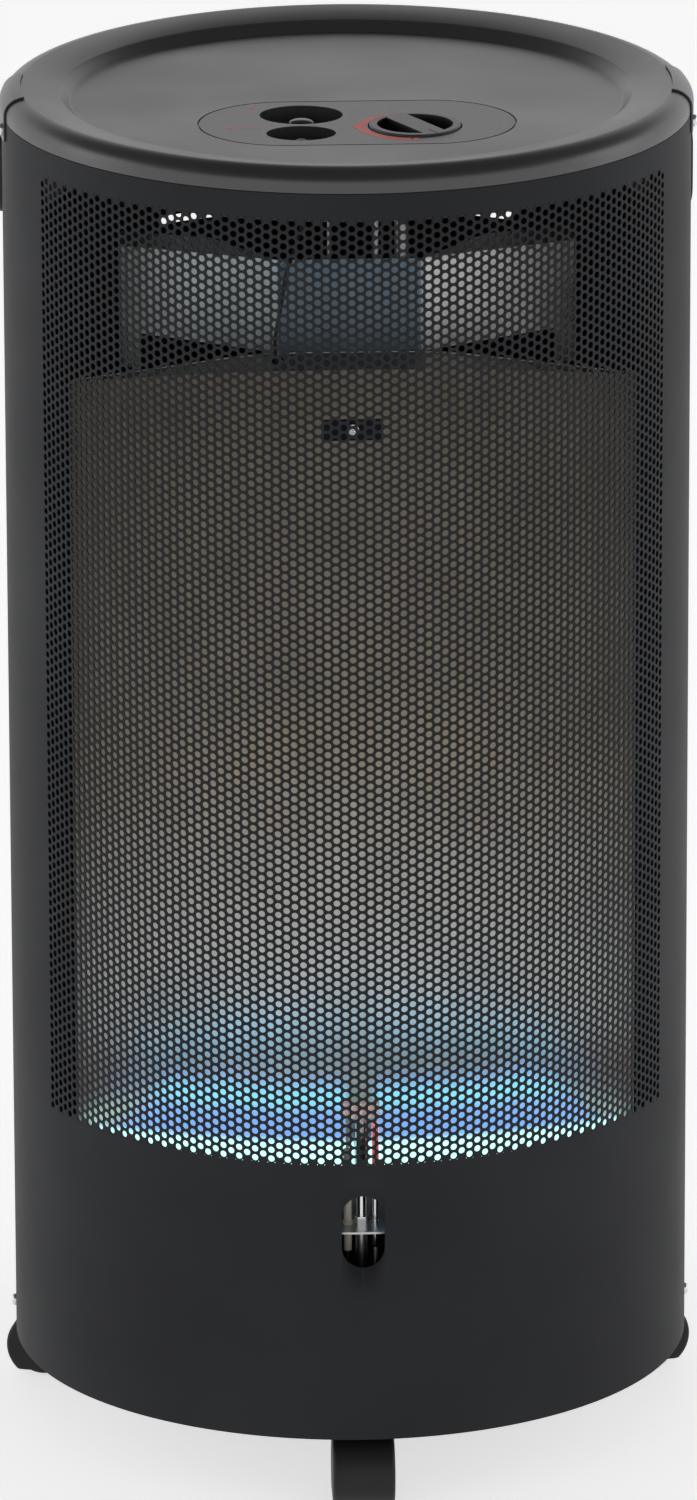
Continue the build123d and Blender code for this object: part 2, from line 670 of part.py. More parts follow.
def shield_line(shift):
    """The shield's outline from left to right, seen from above."""
    y = PART_Y - SHIELD_T + shift
    return [
        (-SHIELD_HALF_W, y + SHIELD_SWEEP),
        (-SHIELD_MID_HALF_W, y),
        (SHIELD_MID_HALF_W, y),
        (SHIELD_HALF_W, y + SHIELD_SWEEP),
    ]


def upper_heat_shield():
    """Three facets above the reflector, with a lip along the top of the outer two."""
    low = PART_TOP - SHIELD_LAP
    band = make_face(Polyline(*shield_line(0), *reversed(shield_line(SHIELD_T)), close=True))
    shield = raised(band, low, SHIELD_TOP)
    end_y = PART_Y - SHIELD_T + SHIELD_SWEEP
    leg = SHIELD_HALF_W - SHIELD_LEG_W
    clear = PART_TOP + SEAT_GAP
    for side in (-1, 1):
        notch = [(leg, low - 1), (leg, clear + SHIELD_EDGE_RISE), (SHIELD_MID_HALF_W, clear)]
        notch.append((SHIELD_MID_HALF_W, low - 1))
        face = make_face(Polyline(*[(side * x, z) for x, z in notch], close=True))
        shield -= extrude(Plane.XZ * face, amount=2 * SHIELD_HALF_W, both=True)
        lip = [(SHIELD_MID_HALF_W, PART_Y - SHIELD_T), (SHIELD_HALF_W, end_y)]
        lip.append((SHIELD_HALF_W, end_y + SHIELD_LIP))
        lip.append((SHIELD_LIP_MID[0], PART_Y - SHIELD_T + SHIELD_LIP_MID[1]))
        face = make_face(Polyline(*[(side * x, y) for x, y in lip], close=True))
        shield += raised(face, SHIELD_TOP - SHIELD_T, SHIELD_TOP)
    return shield


def tray_holes():
    """Holes for the pilot parts, the injector and the ignition wire."""
    low, high = TRAY_TOP - 2 * TRAY_T - TRAY_LIP, TRAY_TOP + 1
    places = [(0, PILOT_Y, PILOT_R), (ELECTRODE_X, PILOT_Y, ELECTRODE_R), (THERMO_X, PILOT_Y, THERMO_R)]
    places += [(INJECTOR_X, burner_y(INJECTOR_X), INJECTOR_R), (WIRE_X, WIRE_Y, WIRE_R + 1)]
    return [post(x, y, radius + SCREW_GAP, low, high) for x, y, radius in places]


def burner_tray():
    """Shelf under the burner, from the partition to just inside the front shell."""
    low = TRAY_TOP - TRAY_T
    ahead = block(-TRAY_R, TRAY_R, -TRAY_R - 1, PART_Y, low, TRAY_TOP)
    tray = post(0, 0, TRAY_R, low, TRAY_TOP) & ahead
    half = TRAY_R * TRAY_LIP_SHARE
    tray += block(-half, half, PART_Y - TRAY_T, PART_Y, low - TRAY_LIP, low)
    return tray - tray_holes()


def combustion_reflector():
    """Tall sheet, hollow towards the front, with a flange back to the shield."""
    half_az = degrees(asin(REFL_HALF_W / REFL_ARC_R))
    sheet = sector(REFL_ARC_R, REFL_ARC_R + REFL_T, 180 - half_az, 180 + half_az, TRAY_TOP, PART_TOP)
    sheet = Pos(0, REFL_MID_Y - REFL_ARC_R, 0) * sheet
    end_y = REFL_MID_Y - REFL_SAG
    back_y = PART_Y - SHIELD_T - SEAT_GAP
    arc = ThreePointArc((-REFL_HALF_W, end_y), (0, REFL_MID_Y), (REFL_HALF_W, end_y))
    corners = [(REFL_HALF_W, end_y), (REFL_FLANGE_HALF_W, back_y), (-REFL_FLANGE_HALF_W, back_y)]
    corners.append((-REFL_HALF_W, end_y))
    edges = [Line(a, b) for a, b in zip(corners, corners[1:])]
    sheet += raised(make_face([arc] + edges), PART_TOP - REFL_T, PART_TOP)
    across, up = WINDOW_W / 2, WINDOW_H / 2
    y0, y1 = REFL_MID_Y - REFL_SAG, REFL_MID_Y + REFL_SAG
    sheet -= block(-across, across, y0, y1, WINDOW_Z - up, WINDOW_Z + up)
    y0, y1 = WIRE_Y - WIRE_ROOM, WIRE_ABOVE_Y + WIRE_ROOM
    return sheet - block(WIRE_X - WIRE_ROOM, WIRE_X + WIRE_ROOM, y0, y1, PART_TOP - WIRE_ROOM, PART_TOP + 1)


def reflector_bracket():
    """Channel between the partition and the reflector's window."""
    front = REFL_MID_Y + REFL_T + SEAT_GAP
    z0, z1 = WINDOW_Z - BRACKET_H / 2, WINDOW_Z + BRACKET_H / 2
    half = BRACKET_W / 2
    channel = block(-half, half, front, PART_Y, z0, z1)
    hollow = block(-half - 1, half + 1, front + BRACKET_T, PART_Y - BRACKET_T, z0 + BRACKET_T, z1 + 1)
    screw_way = Pos(0, front, WINDOW_Z) * Rot(X=90) * Cylinder(SCREW_R + SCREW_GAP, 4 * BRACKET_T)
    return channel - hollow - screw_way


def reflector_screw():
    front = REFL_MID_Y + REFL_T + SEAT_GAP
    shank = Pos(0, front + SCREW_L / 2, WINDOW_Z) * Rot(X=90) * Cylinder(SCREW_R, SCREW_L)
    head = Pos(0, front - SCREW_HEAD_H / 2, WINDOW_Z) * Rot(X=90) * Cylinder(SCREW_HEAD_R, SCREW_HEAD_H)
    return shank + head


# ---------------------------------------------------------------- burner and pilot
def burner_y(x):
    """The burner's middle line at this distance across the cabinet."""
    return BURNER_CY - sqrt(BURNER_ARC_R**2 - x**2)


def burner_part(inset, z0, z1):
    r_in, r_out = BURNER_ARC_R - BURNER_W / 2 + inset, BURNER_ARC_R + BURNER_W / 2 - inset
    half = BURNER_AZ - degrees(inset / BURNER_ARC_R)
    return Pos(0, BURNER_CY, 0) * sector(r_in, r_out, -half, half, z0, z1)


def burner():
    """Hollow curved burner bar with a row of ports along its top."""
    bar = burner_part(0, TRAY_TOP, BURNER_TOP)
    bar -= burner_part(BURNER_WALL, TRAY_TOP + BURNER_WALL, BURNER_TOP - BURNER_WALL)
    count = int((BURNER_HALF_W - PORT_PITCH) / PORT_PITCH)
    step = degrees(PORT_PITCH / BURNER_ARC_R)
    ports = []
    for index in range(-count, count + 1):
        if abs(index * PORT_PITCH) > PORT_MID_GAP:
            slot = block(
                -PORT_W / 2,
                PORT_W / 2,
                -BURNER_ARC_R - PORT_L / 2,
                -BURNER_ARC_R + PORT_L / 2,
                BURNER_TOP - 2 * BURNER_WALL,
                BURNER_TOP + 1,
            )
            ports.append(Pos(0, BURNER_CY, 0) * at_azimuth(slot, index * step))
    place = (INJECTOR_X, burner_y(INJECTOR_X))
    inlet = post(*place, INJECTOR_R + SCREW_GAP, TRAY_TOP - 1, TRAY_TOP + 2 * BURNER_WALL)
    return bar - ports - inlet


def injector_holder():
    """Brass injector from under the tray into the burner."""
    x, y = INJECTOR_X, burner_y(INJECTOR_X)
    under = TRAY_TOP - TRAY_T
    body = post(x, y, INJECTOR_R, under - INJECTOR_H, TRAY_TOP + 2 * BURNER_WALL)
    collar = raised(Pos(x, y) * RegularPolygon(INJECTOR_R + 4, 6), under - INJECTOR_R, under)
    return body + collar


def pilot_burner():
    """Pilot tube with a hexagon on the tray and a slotted head."""
    tube_part = post(0, PILOT_Y, PILOT_R, TRAY_TOP - TRAY_T, PILOT_TOP)
    hexagon = raised(Pos(0, PILOT_Y) * RegularPolygon(PILOT_NUT_R, 6), TRAY_TOP, TRAY_TOP + PILOT_NUT_H)
    y0, y1 = PILOT_Y - PILOT_HEAD_D / 2, PILOT_Y + PILOT_HEAD_D / 2
    top = PILOT_TOP + PILOT_HEAD_H
    head = block(-PILOT_HEAD_W / 2, PILOT_HEAD_W / 2, y0, y1, PILOT_TOP, top)
    half = PILOT_SLOT_W / 2
    slot = block(-half, half, y0 + PILOT_SLOT_IN, y1 + 1, PILOT_TOP + PILOT_SLOT_IN, top + 1)
    return tube_part + hexagon + head - slot


def pilot_fitting():
    return post(0, PILOT_Y, FITTING_R, FITTING_BOTTOM, TRAY_TOP - TRAY_T)


def ignition_electrode():
    """Ceramic sleeve with its wire tip just under the pilot's head."""
    ceramic = post(ELECTRODE_X, PILOT_Y, ELECTRODE_R, ELECTRODE_LOW, ELECTRODE_HIGH)
    collar = post(ELECTRODE_X, PILOT_Y, ELECTRODE_R + COLLAR_WALL, TRAY_TOP, TRAY_TOP + COLLAR_H)
    wire = post(ELECTRODE_X, PILOT_Y, ELECTRODE_WIRE_R, ELECTRODE_HIGH, PILOT_TOP - SPARK_GAP)
    return ceramic + collar + wire


def thermocouple():
    rod = post(THERMO_X, PILOT_Y, THERMO_R, THERMO_LOW, THERMO_TIP)
    return rod + post(THERMO_X, PILOT_Y, THERMO_R + COLLAR_WALL, TRAY_TOP, TRAY_TOP + COLLAR_H)


# ---------------------------------------------------------------- controls
def ellipse_at(place, size, z0, z1):
    return Pos(*place, z0) * extrude(Ellipse(size[0] / 2, size[1] / 2), amount=z1 - z0)


def grown(size, by):
    return (size[0] + 2 * by, size[1] + 2 * by)


def bracket_posts():
    """Corners where the valve bracket hangs from the panel."""
    across = PANEL_W / 2 - POST_IN - POST_R
    deep = PANEL_D / 5
    return [(PANEL_X + sx * across, PANEL_Y + sy * deep) for sx in (-1, 1) for sy in (-1, 1)]


def control_panel():
    """Moulded insert with two finger wells and the knob's pocket."""
    plate = panel_place(TOP_Z - PANEL_T) * extrude(
        stadium(PANEL_W - 2 * PANEL_GAP, PANEL_D - 2 * PANEL_GAP), amount=PANEL_T
    )
    flange = panel_place(TOP_Z - PANEL_T) * extrude(
        stadium(PANEL_W + 2 * PANEL_FLANGE, PANEL_D + 2 * PANEL_FLANGE), amount=PANEL_FLANGE_T
    )
    top = TOP_Z - PANEL_T + 1
    body = plate + flange
    body += ellipse_at(UPPER_WELL, grown(UPPER_WELL_SIZE, WELL_WALL), WELL_UNDER, top)
    body += ellipse_at(LOWER_WELL, grown(LOWER_WELL_SIZE, WELL_WALL), WELL_UNDER, top)
    body += post(*KNOB_AT, KNOB_R + KNOB_GAP + WELL_WALL, WELL_UNDER, top)
    for x, y in bracket_posts():
        body += post(x, y, POST_R, BRACKET_TOP, top)
    body -= ellipse_at(UPPER_WELL, UPPER_WELL_SIZE, WELL_FLOOR, TOP_Z + 1)
    body -= ellipse_at(LOWER_WELL, LOWER_WELL_SIZE, WELL_FLOOR, TOP_Z + 1)
    body -= post(*KNOB_AT, KNOB_R + KNOB_GAP, WELL_FLOOR, TOP_Z + 1)
    body -= post(*UPPER_WELL, IGNITER_R + BUTTON_GAP, WELL_UNDER - 1, TOP_Z)
    body -= post(*LOWER_WELL, START_R + BUTTON_GAP, WELL_UNDER - 1, TOP_Z)
    return body - post(*KNOB_AT, SHAFT_R + 2 * BUTTON_GAP, WELL_UNDER - 1, TOP_Z)


def gas_knob():
    """Round knob with a grip bar left between two deep recesses."""
    top = TOP_Z + KNOB_PROUD
    low = WELL_FLOOR + BUTTON_GAP
    knob = post(0, 0, KNOB_R, low, top)
    hollow = post(0, 0, KNOB_R - KNOB_RIM, top - KNOB_DEPTH, top + 1)
    bar = block(-KNOB_R, KNOB_R, -KNOB_BAR_W / 2, KNOB_BAR_W / 2, low, top + 2)
    knob -= hollow - bar
    rim = knob.edges().filter_by(GeomType.CIRCLE).group_by(Axis.Z)[-1].sort_by(SortBy.RADIUS)[-1]
    knob = fillet(rim, KNOB_EDGE_R)
    knob -= post(0, 0, SHAFT_R + SHAFT_GAP, low - 1, top - KNOB_FLOOR)
    return Pos(*KNOB_AT, 0) * Rot(Z=KNOB_ANGLE) * knob


def valve_shaft():
    return post(*KNOB_AT, SHAFT_R, VALVE_TOP - SHAFT_IN_VALVE, TOP_Z + KNOB_PROUD - KNOB_FLOOR - BUTTON_GAP)


def push_button(place, radius, proud, cap_low, stem_low):
    """A domed cap on a thin stem."""
    top = WELL_FLOOR + proud
    cap = post(*place, radius, cap_low, top)
    rim = cap.edges().filter_by(GeomType.CIRCLE).sort_by(Axis.Z)[-1]
    return fillet(rim, radius * BUTTON_DOME) + post(*place, STEM_R, stem_low, top - radius)


def igniter_button():
    cap_low = WELL_UNDER - IGNITER_TRAVEL
    return push_button(UPPER_WELL, IGNITER_R, IGNITER_PROUD, cap_low, cap_low - STEM_L)


def start_button():
    cap_low = BRACKET_TOP + START_TRAVEL + BUTTON_GAP
    return push_button(LOWER_WELL, START_R, START_PROUD, cap_low, START_STEM_LOW)


def piezo_igniter():
    """Spark module under the upper well; the button's cap and stem slide in it."""
    low = WELL_UNDER - PIEZO_H
    cap_low = WELL_UNDER - IGNITER_TRAVEL
    body = post(*UPPER_WELL, PIEZO_R, low, WELL_UNDER)
    body -= post(*UPPER_WELL, IGNITER_R + BUTTON_GAP, cap_low - IGNITER_TRAVEL - 1, WELL_UNDER + 1)
    return body - post(*UPPER_WELL, STEM_R + SHAFT_GAP, low + PIEZO_H / 4, WELL_UNDER)


def valve_bracket():
    """Flat plate under the panel that carries the valve."""
    posts = bracket_posts()
    xs = [x for x, y in posts]
    ys = [y for x, y in posts]
    edge = 3 * POST_R
    plate = block(min(xs) - edge, max(xs) + edge, min(ys) - edge, max(ys) + edge, VALVE_TOP, BRACKET_TOP)
    plate -= post(*UPPER_WELL, PIEZO_R + BUTTON_GAP, VALVE_TOP - 1, BRACKET_TOP + 1)
    plate -= post(*LOWER_WELL, STEM_R + BUTTON_GAP, VALVE_TOP - 1, BRACKET_TOP + 1)
    return plate - post(*KNOB_AT, SHAFT_R + BUTTON_GAP, VALVE_TOP - 1, BRACKET_TOP + 1)


def gas_valve():
    """Cast valve body with a boss at each end."""
    body = block(*VALVE_X, *VALVE_Y, VALVE_LOW, VALVE_TOP)
    body = fillet(body.edges().filter_by(Axis.X).group_by(Axis.Z)[0], VALVE_H / 5)
    y = sum(VALVE_Y) / 2
    for x, way in ((VALVE_X[0], -1), (VALVE_X[1], 1)):
        boss = Cylinder(VALVE_BOSS_R, VALVE_BOSS_L)
        body += Pos(x + way * VALVE_BOSS_L / 2, y, VALVE_PORT_Z) * Rot(Y=90) * boss
    body -= post(*KNOB_AT, SHAFT_R + SHAFT_GAP, VALVE_TOP - SHAFT_IN_VALVE - 1, VALVE_TOP + 1)
    low = START_STEM_LOW - START_TRAVEL - 1
    return body - post(*LOWER_WELL, STEM_R + SHAFT_GAP, low, VALVE_TOP + 1)


def gas_inlet_nozzle():
    """Hose barb on the valve's rear face, reached from the bottle bay."""
    y = VALVE_Y[1]
    hexagon = Plane.XZ.offset(-y - NOZZLE_R) * RegularPolygon(NOZZLE_R + 1.5, 6)
    body = Pos(0, 0, VALVE_PORT_Z) * extrude(hexagon, amount=NOZZLE_R)
    barb = Pos(0, y + NOZZLE_L / 2, VALVE_PORT_Z) * Rot(X=90) * Cylinder(NOZZLE_BARB_R, NOZZLE_L)
    bore = Pos(0, y + NOZZLE_L, VALVE_PORT_Z) * Rot(X=90) * Cylinder(NOZZLE_BARB_R / 2, NOZZLE_L)
    return body + barb - bore


# ---------------------------------------------------------------- pipes and leads
def down_pipe(x, z_top, z_low, end, end_z, radius):
    """A pipe from the valve, down behind the partition and up to its end from below."""
    points = [
        (x, VALVE_Y[1], z_top),
        (x, PIPE_RUN_Y, z_top),
        (x, PIPE_RUN_Y, z_low),
        (*end, z_low),
        (*end, end_z),
    ]
    return tube(points, radius, PIPE_BEND)


def main_gas_pipe():
    end = (INJECTOR_X, burner_y(INJECTOR_X))
    end_z = TRAY_TOP - TRAY_T - INJECTOR_H
    return down_pipe(MAIN_PIPE_X, VALVE_PORT_Z, MAIN_PIPE_LOW, end, end_z, MAIN_PIPE_R)


def pilot_gas_pipe():
    return down_pipe(PILOT_PIPE_X, VALVE_PORT_Z, PILOT_PIPE_LOW, (0, PILOT_Y), FITTING_BOTTOM, PILOT_PIPE_R)


def thermocouple_lead():
    return down_pipe(LEAD_X, VALVE_PORT_Z, LEAD_LOW, (THERMO_X, PILOT_Y), THERMO_LOW, LEAD_R)


def ignition_wire():
    """From the spark module over the shield, down behind the reflector and up to the electrode."""
    x, y = UPPER_WELL
    start_z = WELL_UNDER - PIEZO_H
    points = [
        (x, y, start_z),
        (x, y, start_z - WIRE_LEAD),
        (x - WIRE_LEAD, PART_Y - PIPE_BEND, SHIELD_TOP - WIRE_LEAD / 2),
        (WIRE_X - WIRE_R, WIRE_ABOVE_Y, PART_TOP + WIRE_BEND),
        (WIRE_X, WIRE_Y, PART_SHOULDER),
        (WIRE_X, WIRE_Y, WIRE_LOW),
        (ELECTRODE_X, PILOT_Y, WIRE_LOW),
        (ELECTRODE_X, PILOT_Y, ELECTRODE_LOW),
    ]
    bends = [WIRE_BEND] * 4 + [WIRE_TRAY_BEND, WIRE_END_BEND]
    return tube(points, WIRE_R, bends)


# ---------------------------------------------------------------- casters
def across(radius, x0, x1):
    """A cylinder along X on the front caster's axle."""
    y = -CASTER_PCR - CASTER_TRAIL
    return Pos((x0 + x1) / 2, y, WHEEL_R) * Rot(Y=90) * Cylinder(radius, abs(x1 - x0))


def caster_stem(azimuth):
    """Round plate under the pan, with the swivel pin below and a stud above."""
    plate = post(0, -CASTER_PCR, CASTER_PLATE_R, CASTER_PLATE_LOW, BASE_LOW)
    pin = post(0, -CASTER_PCR, SWIVEL_R, SWIVEL_LOW, CASTER_PLATE_LOW)
    stud = post(0, -CASTER_PCR, STUD_R, BASE_LOW, BASE_LOW + STUD_H)
    return at_azimuth(plate + pin + stud, azimuth)


def caster_ring(azimuth):
    ring = post(0, -CASTER_PCR, RING_R, BASE_TOP, BASE_TOP + RING_T)
    return at_azimuth(ring - post(0, -CASTER_PCR, STUD_R + SHAFT_GAP, BASE_TOP - 1, BASE_TOP + 3), azimuth)


def caster_hood(azimuth):
    """Swivelling hood over both wheels, with the web that holds pin and axle."""
    top = CASTER_PLATE_LOW - HOOD_TOP_GAP
    outer = WHEEL_R + HOOD_CLEAR + HOOD_WALL
    hood = across(outer, -HOOD_HALF_W, HOOD_HALF_W)
    hood = fillet(hood.edges().filter_by(GeomType.CIRCLE), HOOD_EDGE_R)
    hood += post(0, -CASTER_PCR, HOOD_BOSS_R, SWIVEL_LOW - HOOD_WALL, top)
    for side in (-1, 1):
        hood -= across(WHEEL_R + HOOD_CLEAR, side * WEB_HALF_W, side * (HOOD_HALF_W - HOOD_WALL))
    hood -= across(AXLE_R + AXLE_GAP, -HOOD_HALF_W + HOOD_WALL / 2, HOOD_HALF_W - HOOD_WALL / 2)
    hood -= post(0, -CASTER_PCR, SWIVEL_R + SWIVEL_GAP, 0, top + 1)
    hood -= block(-CASE_R, CASE_R, -2 * CASE_R, CASE_R, -CASE_R, HOOD_BOTTOM)
    return at_azimuth(hood, azimuth)


def caster_axle(azimuth):
    half = HOOD_HALF_W - HOOD_WALL / 2 - AXLE_GAP
    return at_azimuth(across(AXLE_R, -half, half), azimuth)


def caster_wheel(azimuth, side):
    wheel = across(WHEEL_R, side * WHEEL_IN, side * (WHEEL_IN + WHEEL_T))
    wheel = fillet(wheel.edges().filter_by(GeomType.CIRCLE), WHEEL_EDGE_R)
    return at_azimuth(wheel - across(AXLE_R + AXLE_GAP, side * WEB_HALF_W, side * HOOD_HALF_W), azimuth)


# ---------------------------------------------------------------- all pieces
def main():
    os.makedirs("parts", exist_ok=True)
    save("front_shell", front_shell())
    save("side_panel_left", side_panel(-1))
    save("side_panel_right", side_panel(1))
    save("side_grip_left", side_grip(-1))
    save("side_grip_right", side_grip(1))
    save("top_lid", top_lid())
    save("lid_straps", lid_strap(-1), lid_strap(1))
    save("casing_screws", *[screw(*place) for place in screw_places()])
    save("base_plate", base_plate())

    save("rear_door", rear_door())
    save("door_hinge_leaves", *hinge_moving())
    save("door_pull", door_pull())
    save("frame_hinge_leaves", *hinge_fixed())
    save("hinge_pins", *hinge_pins())
    save("door_magnets", *door_magnets())

    save("bay_partition", bay_partition())
    save("upper_heat_shield", upper_heat_shield())
    save("burner_tray", burner_tray())
    save("combustion_reflector", combustion_reflector())
    save("reflector_bracket", reflector_bracket())
    save("reflector_screw", reflector_screw())

    save("burner", burner())
    save("injector_holder", injector_holder())
    save("pilot_burner", pilot_burner())
    save("pilot_fitting", pilot_fitting())
    save("ignition_electrode", ignition_electrode())
    save("thermocouple", thermocouple())

    save("control_panel", control_panel())
    save("gas_knob", gas_knob())
    save("valve_shaft", valve_shaft())
    save("igniter_button", igniter_button())
    save("start_button", start_button())
    save("piezo_igniter", piezo_igniter())
    save("valve_bracket", valve_bracket())
    save("gas_valve", gas_valve())
    save("gas_inlet_nozzle", gas_inlet_nozzle())

    save("main_gas_pipe", main_gas_pipe())
    save("pilot_gas_pipe", pilot_gas_pipe())
    save("thermocouple_lead", thermocouple_lead())
    save("ignition_wire", ignition_wire())

    save("caster_stems", *[caster_stem(az) for az in CASTER_AZ.values()])
    save("caster_rings", *[caster_ring(az) for az in CASTER_AZ.values()])
    for name, azimuth in CASTER_AZ.items():
        save(f"caster_hood_{name}", caster_hood(azimuth))
        save(f"caster_axle_{name}", caster_axle(azimuth))
        save(f"caster_wheel_{name}_a", caster_wheel(azimuth, -1))
        save(f"caster_wheel_{name}_b", caster_wheel(azimuth, 1))


main()
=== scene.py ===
"""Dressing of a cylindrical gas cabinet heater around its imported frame."""

import math

import bmesh
import bpy
import numpy as np
from bpy.props import FloatProperty, FloatVectorProperty, IntProperty, PointerProperty
from mathutils import Matrix, Vector


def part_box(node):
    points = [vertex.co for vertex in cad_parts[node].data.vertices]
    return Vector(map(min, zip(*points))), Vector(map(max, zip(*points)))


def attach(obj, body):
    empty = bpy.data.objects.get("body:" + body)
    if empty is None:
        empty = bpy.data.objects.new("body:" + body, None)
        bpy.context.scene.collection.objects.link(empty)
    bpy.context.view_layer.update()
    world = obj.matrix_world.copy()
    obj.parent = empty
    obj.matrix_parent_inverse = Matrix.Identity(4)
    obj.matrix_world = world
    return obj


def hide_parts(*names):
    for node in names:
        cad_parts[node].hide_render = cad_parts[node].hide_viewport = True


bl_info = {
    "name": "Gas Cabinet Heater",
    "version": (1, 0, 0),
    "blender": (4, 5, 0),
    "location": "View3D > Sidebar > Heater",
    "description": "Builds the surfaces of a cylindrical gas cabinet heater on its packed frame",
    "category": "Object",
}

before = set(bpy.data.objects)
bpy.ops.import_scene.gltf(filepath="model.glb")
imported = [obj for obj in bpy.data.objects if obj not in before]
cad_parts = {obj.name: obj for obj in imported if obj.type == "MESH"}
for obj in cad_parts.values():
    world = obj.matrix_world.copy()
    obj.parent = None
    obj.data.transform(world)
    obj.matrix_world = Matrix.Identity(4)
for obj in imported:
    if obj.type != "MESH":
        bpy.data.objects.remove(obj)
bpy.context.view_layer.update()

MM = 0.001
TINY = 1e-6
# points round one hole and offsets round one cell of the lattice
RING = 12
CABINET = "cabinet"


# ---------------------------------------------------------------- sizes that come from the frame
def node_box(node):
    """Lowest and highest corner of a node, in millimetres."""
    low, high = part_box(node)
    return Vector(low) / MM, Vector(high) / MM


SHELL_LOW, SHELL_HIGH = node_box("front_shell")
CASE_R = SHELL_HIGH.x
SEAM_Z = SHELL_HIGH.z
LID_LOW, LID_HIGH = node_box("top_lid")
PANEL_TOP = node_box("control_panel")[1].z
KNOB_LOW, KNOB_HIGH = node_box("gas_knob")
KNOB_AT = (KNOB_LOW + KNOB_HIGH) / 2
KNOB_R = (KNOB_HIGH.x - KNOB_LOW.x) / 2
REFLECTOR_LOW, REFLECTOR_HIGH = node_box("combustion_reflector")
BURNER_LOW, BURNER_HIGH = node_box("burner")


# ---------------------------------------------------------------- user settings
class HeaterGrille(bpy.types.PropertyGroup):
    """Sheet and lattice of the perforated front."""

    sheet: FloatProperty(name="Sheet", description="Thickness of the casing sheet in mm", default=0.8)
    hole: FloatProperty(name="Hole", description="Diameter of one hole in mm", default=4.0)
    pitch_az: FloatProperty(name="Column pitch", description="Angle of one column in degrees", default=1.395)
    pitch_z: FloatProperty(name="Row pitch", description="Height from hole to hole in mm", default=5.415)
    columns: IntProperty(name="Columns", description="Number of hole columns", default=91)
    rows: IntProperty(name="Rows", description="Number of holes in a column", default=104)
    first_z: FloatProperty(name="First row", description="Height of the lowest holes in mm", default=214.2)
    edge_az: FloatProperty(name="Edge", description="Angle of the upright edges in degrees", default=91.88)
    slot_width: FloatProperty(name="Slot width", description="Width of the slot in mm", default=25.0)
    slot_height: FloatProperty(name="Slot height", description="Height of the slot in mm", default=44.0)
    slot_z: FloatProperty(name="Slot centre", description="Height of its middle in mm", default=170.7)
    fold: FloatProperty(name="Fold", description="Depth of the folded vertical edges in mm", default=12.0)
    fold_low: FloatProperty(name="Fold start", description="Lower end above the shell's in mm", default=23.2)
    fold_high: FloatProperty(name="Fold end", description="Upper end below the seam in mm", default=18.0)


class HeaterLid(bpy.types.PropertyGroup):
    """Profile of the pressed lid and outline of the control panel."""

    sheet: FloatProperty(name="Sheet", description="Thickness of the lid in mm", default=1.0)
    band: FloatProperty(name="Band", description="Height of the upright band in mm", default=4.5)
    crest_in: FloatProperty(name="Crest", description="Crest inside the cabinet's edge in mm", default=12.0)
    slope_in: FloatProperty(name="Slope", description="Inner end of the rim's slope in mm", default=34.0)
    slope_drop: FloatProperty(name="Slope drop", description="Drop of the rim's slope in mm", default=4.0)
    wall_in: FloatProperty(name="Wall", description="Foot of the rim's inner wall in mm", default=40.0)
    panel_x: FloatProperty(name="Panel across", description="Middle of the panel in mm", default=4.0)
    panel_y: FloatProperty(name="Panel depth place", description="Middle of the panel in mm", default=-55.5)
    panel_width: FloatProperty(name="Panel width", description="Width of the opening in mm", default=184.0)
    panel_depth: FloatProperty(name="Panel depth", description="Depth of the opening in mm", default=101.2)


class HeaterPaint(bpy.types.PropertyGroup):
    """Colours of the finishes."""

    casing: FloatVectorProperty(
        name="Casing", description="Powder coat", subtype="COLOR", size=4, default=(0.020, 0.021, 0.0235, 1)
    )
    lid: FloatVectorProperty(
        name="Lid", description="Lid's coat", subtype="COLOR", size=4, default=(0.012, 0.0125, 0.0135, 1)
    )
    plastic: FloatVectorProperty(
        name="Plastic", description="Mouldings", subtype="COLOR", size=4, default=(0.006, 0.006, 0.007, 1)
    )
    print_red: FloatVectorProperty(
        name="Print", description="Printed marks", subtype="COLOR", size=4, default=(0.95, 0.13, 0.11, 1)
    )


class HeaterPrint(bpy.types.PropertyGroup):
    """Marks printed on the control panel."""

    film: FloatProperty(name="Film", description="Thickness of the print in mm", default=0.05)
    dial_in: FloatProperty(name="Dial gap", description="Bare ring between knob and dial in mm", default=1.6)
    tip: FloatProperty(name="Dial tip", description="Reach of the dial's pointed tip in mm", default=8.6)
    dial: FloatProperty(name="Dial width", description="Width of the dial's broad end in mm", default=5.6)


class HeaterFlames(bpy.types.PropertyGroup):
    """The curtain of flames over the burner."""

    height: FloatProperty(name="Height", description="Height above the burner in mm", default=62.0)
    half_span: FloatProperty(name="Half span", description="Reach to each side in mm", default=154.0)
    gap: FloatProperty(name="Gap", description="Half the gap at the pilot in mm", default=4.0)
    gap_x: FloatProperty(name="Gap place", description="Middle of the gap in mm", default=1.0)
    base: FloatVectorProperty(
        name="Base", description="Foot of the flames", subtype="COLOR", size=4, default=(0.53, 1.0, 0.94, 1)
    )
    body: FloatVectorProperty(
        name="Body", description="Body of the flames", subtype="COLOR", size=4, default=(0.15, 0.31, 0.66, 1)
    )
    ridge: FloatVectorProperty(
        name="Ridge", description="Tips of the cones", subtype="COLOR", size=4, default=(0.18, 0.60, 0.70, 1)
    )


